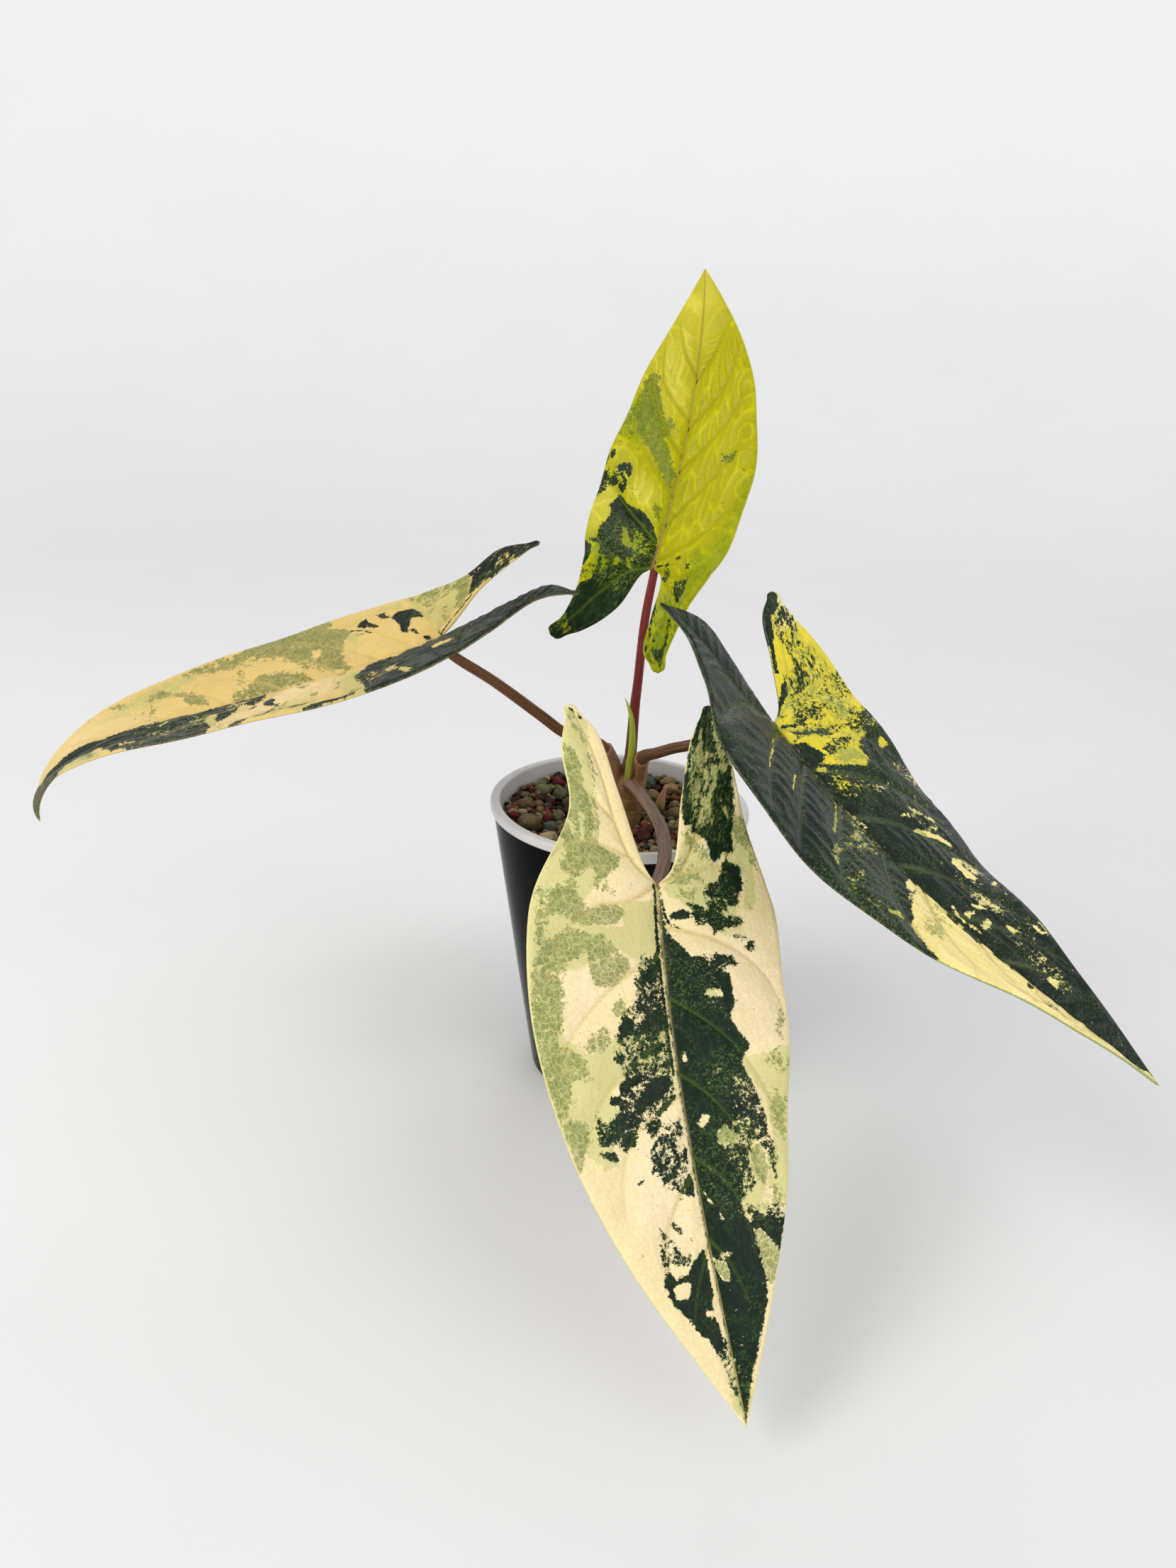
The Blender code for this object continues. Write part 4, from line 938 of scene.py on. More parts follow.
leafTop = dict(
    at=(7.0, 7.0, 208.5), heading=55.0, pitch=64.0, roll=2.5, length=113.0, arch=-3.5, tipArch=0.5,
    lobeLift=-4.0, sway=-14.0, tipSway=-4.0, twist=-8.0, lobeTwist=-15.5,
    left=dict(
        width=30.5, lobe=36.5, outer=(25.0, 25.5, 28.0), sinus=(3.5, 8.0, 18.0), blunt=3.0,
        fold=(25, 12, 8, 16), curl=(6, -14, -13, 1)),
    right=dict(
        width=33.0, lobe=36.5, outer=(20.5, 16.5, 15.0), sinus=(5.5, 6.0, 7.0), blunt=2.8,
        fold=(12, 19, 14, 5), curl=(-8, -1, -2, -5)),
    relief=dict(
        quilt=0.72, groove=0.58, ladder=(0.20, 0.52), net=0.05, channel=0.30, ladderStep=5.4,
        ladderReach=1.7, wave=0.7, ribWidth=1.15),
    veins=dict(
        left=(
            ((0, 8), (-8, 14), (-16, 20), (-26, 29)), ((0, 27), (-8, 35), (-14, 42), (-20, 50), (-22, 60)),
            ((0, 42), (-6, 48), (-11, 56), (-15, 66), (-17, 74)), ((0, 55), (-7, 62), (-12, 70), (-13, 84)),
            ((0, 72), (-5, 80), (-8, 91)), ((0, 0), (-8, -3), (-15, -12), (-21, -24), (-26, -34)),
            ((-7, -2), (-18, 2), (-27, 8))),
        right=(
            ((0, 2), (12, 8), (22, 15), (31, 28)), ((0, 16), (10, 26), (18, 36), (25, 48)),
            ((0, 36), (9, 44), (17, 54), (22, 66)), ((0, 52), (8, 60), (14, 70), (16, 84)),
            ((0, 70), (6, 78), (10, 89)), ((0, 0), (7, -2), (11, -10), (13, -22), (15, -33)),
            ((7, -2), (16, -3), (26, 2)))),
    dark=(
        (0.94, 0.7, ((-0.5, 8), (-4, 11.5), (-3.5, 14), (-6.5, 16.5), (-9, 19), (-12, 19.5), (-15, 18.5),
                     (-19, 22.3), (-21, 22.3), (-22.7, 21), (-22.5, 17), (-23, 14), (-25, 11), (-25, 6),
                     (-23, 5), (-22, 1), (-21, -3), (-21, -9), (-24, -13), (-26, -20), (-28, -28),
                     (-33, -38), (-22, -40), (-13, -34), (-6, -23), (-3, -12), (-1, -4), (0, 0))),
        (1.0, 0.5, ((-20.5, 25.5), (-17, 22), (-9, 19.5), (-4, 14.5), (-1, 9), (-3, 8), (-8, 12), (-14, 16),
                    (-20, 18.5), (-24, 20))),
        (1.0, 0.6, ((-23, -13), (-17, -12), (-11, -12), (-9, -15), (-13, -24), (-20, -31), (-25, -28),
                    (-25, -18))),
        (1.0, 0.8, ((-25, 11), (-16, 11), (-16, 5), (-22, 4), (-25, 6))),
        (0.92, 0.5, ((-31, 8), (-28.5, 4.5), (-26, 4), (-25.5, 0), (-26, -5), (-28, -4), (-30, 2))),
        (0.85, 0.4, ((-28, 6), (-25, 5.8)), 1.3),
        (0.52, 0.9, ((-26, -4), (-21, -3), (-21, -12), (-24.5, -13), (-27, -8))),
        (0.78, 0.8, ((-23.5, 37), (-19, 38), (-17.5, 35), (-18, 31.5), (-20.5, 33.5), (-24.5, 35.2))),
        (1.0, 0.5, ((-25, 30.5), (-24, 31.5), (-22.5, 30), (-22.5, 28.5), (-25, 29))),
        (0.8, 0.5, ((-21.5, 33), (-20, 31), (-19, 29.5), (-20, 26.5), (-22, 29)), 1.9),
        (0.95, 0.5, ((-28, 42.5), (-26, 42.5), (-25.5, 40), (-27, 39), (-28, 40))),
        (0.78, 0.6, ((-30, 45), (-29, 40), (-29.5, 37)), 1.6),
        (0.74, 0.9, ((-31.5, 35), (-27.5, 34), (-27, 28), (-28.5, 24), (-32, 22))),
        (0.55, 1.0, ((-28, 36), (-21, 34), (-20, 27), (-28, 28))),
        (0.5, 0.6, ((-28, 33), (-25, 31.5), (-21, 25)), 1.3),
        (0.75, 0.6, ((10, 4), (12, 4.8), (14.5, 4.5), (14, 3), (11, 3))),
        (0.62, 0.6, ((16.5, 3), (19.5, 2.5), (19.5, 0), (17, 0.5))),
        (0.66, 0.5, ((2, 0.5), (6, 1), (10, 1.5)), 1.2),
        (0.7, 0.6, ((6, 0), (9, 0.5), (10, -2), (8.5, -6), (6.5, -4))),
        (0.72, 0.8, ((13, -4), (16, -3), (19, -1), (19, -5), (18.3, -9), (17, -12.5), (14, -10), (13, -8))),
        (0.6, 0.6, ((6.5, -12), (7, -18), (8, -24), (8, -29)), 2.0),
        (0.66, 0.6, ((14.5, -18), (15, -25), (14, -30), (15, -34)), 1.8),
        (0.8, 0.5, ((11.5, -29.5), (13, -31.5)), 2.0), (0.5, 0.6, ((9, -25), (11.5, -25), (11, -28))),
        (0.56, 0.6, ((6, -28), (9, -31), (12, -34)), 1.4),
        (0.42, 0.8, ((17, 42), (24, 43), (24, 39), (19, 39))),
        (-0.95, 0.5, ((-16, 13), (-14, 12), (-12, 9), (-10, 6), (-12, 5), (-14.5, 7), (-15, 10))),
        (-0.45, 0.8, ((-11, 13), (-2, 9), (-1, 3), (-9, 4), (-11, 8))),
        (-0.85, 0.5, ((-15.5, 1), (-13.5, 1.5), (-13, -2), (-15, -2.5))),
        (-0.75, 0.5, ((-10, 0.5), (-9.3, -1.5)), 1.8),
        (-0.55, 0.8, ((-20.5, 1), (-17, 0), (-17.5, -7), (-19, -7), (-20, -4))),
        (-0.5, 0.8, ((-9, 4), (-6, 3), (-7, 0), (-9, 1))),
        (-0.35, 1.0, ((-24, -35), (-20, -33), (-24, -26), (-29, -30)))),
    sage=(
        (0.95, 0.9, ((-16, 74), (-13, 71), (-14, 69), (-12, 65), (-11, 62), (-10.5, 59), (-9, 55),
                     (-6, 54.5), (-5, 53), (-7, 48), (-6, 45), (-4, 41), (-2, 37), (-1, 33), (-2, 29),
                     (-5, 32), (-8, 36), (-12, 42), (-14, 44), (-16, 46), (-20, 51), (-21, 55), (-24, 58),
                     (-22, 61), (-20, 65), (-19, 69))),
        (0.6, 1.0, ((-25.5, 59), (-20, 60), (-21, 52), (-26, 53))),
        (0.5, 1.5, ((-20, 31), (-14, 29), (-13, 24), (-18, 25))),
        (0.85, 0.7, ((-7, 24), (-4, 22.5), (-2, 18), (-2, 15), (-4, 18), (-6.5, 21))),
        (0.5, 1.4, ((-28, 50), (-22, 52), (-18, 44), (-25, 45))),
        (0.78, 0.7, ((17, 40.5), (19, 42), (22, 42), (24.5, 43), (24, 40), (22, 38), (20, 39), (18, 38))),
        (0.5, 1.6, ((12, -2), (19, 2), (19, -12), (16, -34), (9, -33), (8, -14)))),
    green=(
        (1.0, 3.0, ((-26, 8), (-14, 14), (-1, 9), (-1, -2), (-10, -12), (-22, -10))),
        (0.9, 2.0, ((-30, -38), (-22, -28), (-26, -22), (-33, -34))),
        (0.36, 5.0, ((-1, 84), (5, 70), (8, 44), (8, 14), (3, 2), (-3, 6), (-4, 40), (-3, 70))),
        (0.8, 6.0, ((25, 8), (30, 24), (34, 42), (40, 40), (36, 8), (29, -4), (22, -14), (18, -38),
                    (4, -36), (6, -12), (14, -6), (18, 4))),
        (0.7, 2.0, ((0, 34), (-2, 30), (-4, 16), (-1, 8), (0, 8))),
        (0.6, 3.0, ((-18, 44), (-12, 60), (-22, 64), (-27, 50)))),
    pale=(
        (1.0, 7.0, ((0, 116), (-9, 98), (-4, 90), (0, 84), (3, 94), (7, 100))),
        (0.5, 5.0, ((-19, 72), (-10, 60), (-1, 58), (-1, 90), (-10, 98))),
        (0.6, 2.0, ((-31, 30), (-23, 28), (-22, 14), (-25, 10), (-32, 8))),
        (0.5, 2.0, ((-16, 24), (-8, 22), (-6, 28), (-14, 34)))))

leafTopFinish = dict(
    ground=(0.385, 0.36, 0.0), greenGround=(0.20, 0.25, 0.0), paleGround=(0.60, 0.53, 0.05),
    sage=(0.155, 0.19, 0.012), deepSage=(0.10, 0.145, 0.010), dark=(0.004, 0.016, 0.003),
    fleck=(0.10, 0.15, 0.006), vein=(0.26, 0.26, 0.0), rib=(0.32, 0.23, 0.05), ridge=(1.38, 1.36, 2.4),
    darkRidge=(0.03, 0.06, 0.02), margin=(0.50, 0.48, 0.03), under=(0.44, 0.48, 0.10), roughness=0.36,
    shine=0.11, netAmount=0.4, marginWidth=0.35, greenEdge=0.42)

leafLeft = dict(
    at=(-69.5, -15.0, 183.5), heading=196.5, pitch=-22.0, roll=-3.5, length=172.0, arch=-22.0, tipArch=90.0,
    lobeLift=-14.0, sway=18.0, tipSway=5.5, twist=6.0, lobeTwist=3.0,
    left=dict(
        width=33.0, lobe=50.0, outer=(23.0, 17.0, 31.5), sinus=(0.6, 1.0, 9.0), blunt=1.0,
        fold=(15, 13, 6, 20), curl=(-21, -14, 8, -10)),
    right=dict(
        width=33.0, lobe=52.0, outer=(24.5, 26.0, 16.0), sinus=(1.0, 14.0, 16.5), blunt=1.2,
        fold=(26, 20, 12, 14), curl=(-3, -11, -1, -8)),
    relief=dict(
        quilt=0.48, groove=0.38, ladder=(0.40, 0.10), net=0.04, channel=0.45, ladderStep=4.8,
        ladderReach=2.6, wave=0.25, ribWidth=1.0),
    veins=dict(
        left=(
            ((0, 12), (-10, 17), (-20, 24), (-28, 34)), ((0, 33), (-9, 41), (-18, 52), (-24, 64)),
            ((0, 55), (-8, 62), (-18, 72), (-24, 82)), ((0, 76), (-8, 84), (-15, 95), (-18, 105)),
            ((0, 96), (-6, 104), (-11, 115)), ((0, 118), (-4, 127), (-7, 138)),
            ((0, 0), (-7, -8), (-9, -20), (-12, -32), (-20, -43)), ((-6, -7), (-16, -8), (-24, -6))),
        right=(
            ((0, 7), (10, 14), (20, 21), (28, 31)), ((0, 20), (8, 27), (18, 37), (28, 50)),
            ((0, 35), (10, 43), (18, 55), (22, 68), (24, 82)), ((0, 55), (7, 62), (13, 72), (17, 86)),
            ((0, 75), (8, 83), (12, 92), (16, 105)), ((0, 97), (6, 105), (10, 114), (13, 126)),
            ((0, 118), (4, 126), (8, 139)), ((0, 0), (8, -8), (14, -18), (18, -32), (18, -47)),
            ((4, -1), (15, -2), (26, 1)))),
    dark=(
        (1.0, 1.0, ((0, 2.5), (-4, 3.5), (-8, 5), (-5, 8), (-4, 12), (-4, 20), (-6, 24), (-10, 26),
                    (-13, 28), (-16, 29.5), (-20, 28), (-26, 26.5), (-37, 26), (-40, 15), (-40, 3),
                    (-34, -8), (-28, -20), (-24, -33), (-28, -42), (-40, -56), (-16, -54), (-5, -46),
                    (1, -37), (1, -6))),
        (0.86, 0.8, ((-0.5, 60), (-6, 61), (-10, 65), (-8, 68), (-14, 70), (-18, 73), (-20, 75.5),
                     (-11, 76), (-9, 79), (-16, 79), (-22, 77), (-25, 75), (-31, 76), (-31, 84), (-29, 92),
                     (-26, 100), (-22, 105), (-21, 109), (-14, 115), (-10, 117), (-12, 121), (-13, 126),
                     (-14, 134), (-22, 137), (-14, 150), (-8, 164), (0, 174), (2.8, 150), (3.3, 135),
                     (3, 128), (1.5, 122), (1, 110), (0.5, 100), (-1, 92), (-4, 86), (-1, 78), (-0.5, 70))),
        (1.0, 0.6, ((-9, 116), (-11, 122), (-13, 130), (-18, 142), (-6, 164), (2, 160), (2.8, 150),
                    (3.3, 130), (1.5, 120), (0.5, 104), (-6, 106), (-8, 112))),
        (1.0, 0.6, ((-29, 90), (-25, 99), (-16, 104), (-12, 100), (-20, 96), (-22, 90), (-28, 85))),
        (1.0, 0.6, ((-31, 84), (-31, 76), (-26, 76), (-22, 80), (-28, 84))),
        (0.95, 0.5, ((-19.5, 57), (-16, 60), (-12.5, 60), (-9, 58), (-13, 56.5), (-18, 56))),
        (0.88, 0.5, ((-18, 65), (-15, 64), (-14, 62), (-17, 62))),
        (0.6, 0.6, ((-30, 57), (-24, 55), (-18, 55)), 2.2),
        (0.64, 0.6, ((-29.5, 60), (-28, 52), (-29, 45)), 2.0),
        (0.74, 0.6, ((-33.5, 45), (-32.5, 38), (-32.5, 30)), 2.2), (0.7, 0.6, ((-32, 70), (-30, 64)), 2.2),
        (0.8, 0.5, ((0.5, 0.5), (1, 2.5), (4, 3.5), (3, 1))),
        (0.85, 0.5, ((5, 4), (8, 6), (10, 9), (12, 9.5), (12, 8), (9.5, 6.5), (10, 4.5), (7, 4))),
        (0.9, 0.6, ((8, 7.5), (13, 5.5), (17, 3.5), (22, 2), (23, 8), (20, 11), (15, 9.5), (10, 9.5))),
        (1.0, 0.5, ((12, 7), (14, 8), (16, 7), (18, 9), (20.5, 11), (22.5, 9), (22.5, 4), (21, 1.5),
                    (17, 0), (14, 0), (16, 4), (16, 6))),
        (0.76, 0.6, ((20.5, 12), (22, 15), (26, 16.5), (26, 14), (26, 11.5), (24, 13), (22, 11))),
        (0.95, 0.5, ((21, 22), (23.5, 25), (25.5, 23), (26, 20.5), (24, 20), (22, 21))),
        (0.75, 0.4, ((17, 20.5), (19, 22), (21, 25), (22, 27)), 1.2),
        (0.7, 0.5, ((19, 17.5), (22, 20)), 2.0),
        (0.75, 0.3, ((0.8, -3), (4, -6.5), (8, -12), (13, -20)), 0.8),
        (0.66, 0.4, ((1.5, -2.5), (6, -4)), 1.0),
        (0.9, 0.8, ((14, -19), (17, -21), (20, -23), (24, -22.5), (26.5, -25), (29, -33), (28, -41),
                    (24, -48), (18, -56), (14, -52), (16.5, -42), (16, -32), (15, -26))),
        (-0.6, 0.6, ((-29, 12), (-25, 13.5)), 2.6),
        (-0.55, 0.8, ((-25, 20), (-17, 19), (-17, 14), (-24, 14))),
        (-0.75, 0.6, ((-17.5, 2), (-14, 2), (-14, -5), (-17, -6), (-17, -2))),
        (-0.35, 1.0, ((-30, 24), (-16, 27), (-15, 21), (-28, 20))),
        (-0.25, 1.2, ((-26, 98), (-12, 100), (-12, 88), (-22, 88))),
        (-0.65, 0.6, ((-16.5, 103.5), (-16, 107)), 2.2), (-0.7, 0.5, ((-8, 96), (-6, 95)), 1.6),
        (-0.32, 1.0, ((-20, 86), (-6, 86), (-7, 80), (-18, 80))),
        (-0.45, 0.8, ((-12, 72), (-3, 74), (-3, 66), (-8, 66))),
        (-0.2, 1.5, ((16, -24), (24, -26), (25, -44), (18, -50)))),
    sage=(
        (0.97, 0.8, ((1.5, 31), (4, 32.5), (8, 32), (14, 31.5), (18, 30), (21, 27), (25, 29), (26, 31),
                     (29, 34.5), (34, 33), (34.5, 45), (33, 58), (31, 68), (27, 74), (24, 73), (22, 68),
                     (20, 62), (17, 56), (13, 50), (8, 46), (5, 42), (2, 37))),
        (0.88, 1.0, ((0, 72), (4, 72.5), (7, 72), (6, 68), (10, 66), (12, 62), (10, 58), (10, 54), (6, 48),
                     (1, 44), (0, 60))),
        (0.64, 0.7, ((9, 70), (17, 71)), 3.0),
        (0.88, 0.7, ((1, 80), (2, 84), (4, 88), (8, 91), (11, 93), (13, 97), (13, 101), (12, 104),
                     (14, 107), (17, 104), (17.5, 100), (14, 95), (12, 89), (9, 84), (4, 82))),
        (0.64, 1.0, ((13, 108), (16, 115), (17, 122), (14, 119), (13, 113))),
        (0.5, 1.0, ((12, 128), (14, 132), (16, 127), (14, 124))),
        (0.66, 1.2, ((18, 66), (20, 84), (23, 94), (26, 88), (29, 78), (24, 70))),
        (0.4, 1.8, ((3, 103), (9, 107), (9, 100), (4, 98))),
        (0.62, 1.2, ((16, -3), (22, -1), (30, 3), (31, 0), (28, -8), (26, -16), (21, -14), (19, -6))),
        (0.78, 1.0, ((9, -12), (14, -14), (18, -15), (22, -14), (25, -18), (23, -23), (17, -22),
                     (13, -18))),
        (0.55, 0.8, ((7, -7.5), (13, -8)), 3.0), (0.6, 1.0, ((17, 28), (20, 28), (21, 24), (18, 22))),
        (0.5, 1.0, ((25, 27), (28, 24), (26, 20))), (-0.9, 0.7, ((11, 43), (17, 43.5), (17, 41), (13, 40))),
        (-0.6, 0.8, ((1, 36), (10, 45), (18, 55), (24, 67)), 2.2),
        (0.58, 1.0, ((-31, 32), (-27, 31), (-27, 27.5), (-33, 27))),
        (0.64, 1.0, ((-22, 36), (-10, 36.5), (-18, 33), (-22, 32))),
        (0.78, 0.9, ((-8, 35), (-3, 36), (-1, 34), (-2, 31), (-8, 32))),
        (0.68, 1.0, ((-27, 43), (-20, 45), (-19, 42), (-25, 41))),
        (0.62, 1.0, ((-25, 49), (-17, 50), (-17, 47), (-24, 47))),
        (0.64, 0.8, ((-8, 49), (-4, 49), (-5, 45), (-8, 46))),
        (0.62, 1.0, ((-29, 54), (-18, 55), (-16, 51), (-22, 50.5))),
        (0.52, 1.0, ((-17, 46), (-10, 44), (-8, 41), (-15, 42))),
        (0.52, 1.2, ((-31, 74), (-27, 75), (-25, 72), (-30, 70))),
        (0.82, 1.2, ((-22, 113), (-14, 117), (-10, 121), (-9, 128), (-12, 128), (-17, 121))),
        (0.8, 2.0, ((-17, 128), (-12, 138), (-16, 140)))),
    green=(
        (1.0, 2.0, ((-8, 142), (-16, 140), (-10, 155), (0, 172), (3, 160), (2, 146))),
        (0.9, 3.0, ((-26, 104), (-4, 108), (-3, 64), (-28, 76))),
        (0.65, 2.0, ((2, 28), (16, 29), (20, 34), (28, 30), (29, 22), (30, 5), (25, 3), (24, 8), (27, 14),
                     (24, 28), (16, 24), (10, 27))),
        (0.85, 2.0, ((2, -2), (29, 4), (26, -22), (14, -19))),
        (0.9, 1.5, ((-35, 34), (-12, 34), (-8, 26), (-35, 25))),
        (0.62, 2.0, ((-34, 40), (-31, 75), (-24, 68), (-20, 50), (-24, 40))),
        (0.85, 2.0, ((-23, 112), (-10, 118), (-12, 140), (-7, 150), (-14, 136))),
        (0.7, 3.0, ((10, 130), (18, 112), (26, 90), (20, 84), (8, 104)))),
    pale=(
        (0.9, 4.0, ((-28, 74), (-8, 66), (-1, 50), (-2, 34), (-20, 36))),
        (0.5, 4.0, ((2, 100), (4, 152), (8, 150), (14, 130), (10, 112)))))

leafLeftFinish = dict(
    ground=(0.68, 0.485, 0.165), greenGround=(0.52, 0.45, 0.15), paleGround=(0.77, 0.59, 0.30),
    sage=(0.25, 0.265, 0.085), deepSage=(0.145, 0.175, 0.052), dark=(0.006, 0.014, 0.008),
    fleck=(0.08, 0.105, 0.03), vein=(0.56, 0.43, 0.12), rib=(0.52, 0.42, 0.14), ridge=(1.12, 1.12, 1.15),
    darkRidge=(0.10, 0.118, 0.095), margin=(0.72, 0.56, 0.20), under=(0.50, 0.50, 0.32), roughness=0.36,
    shine=0.14, netAmount=0.4, marginWidth=0.38, greenEdge=0.24)

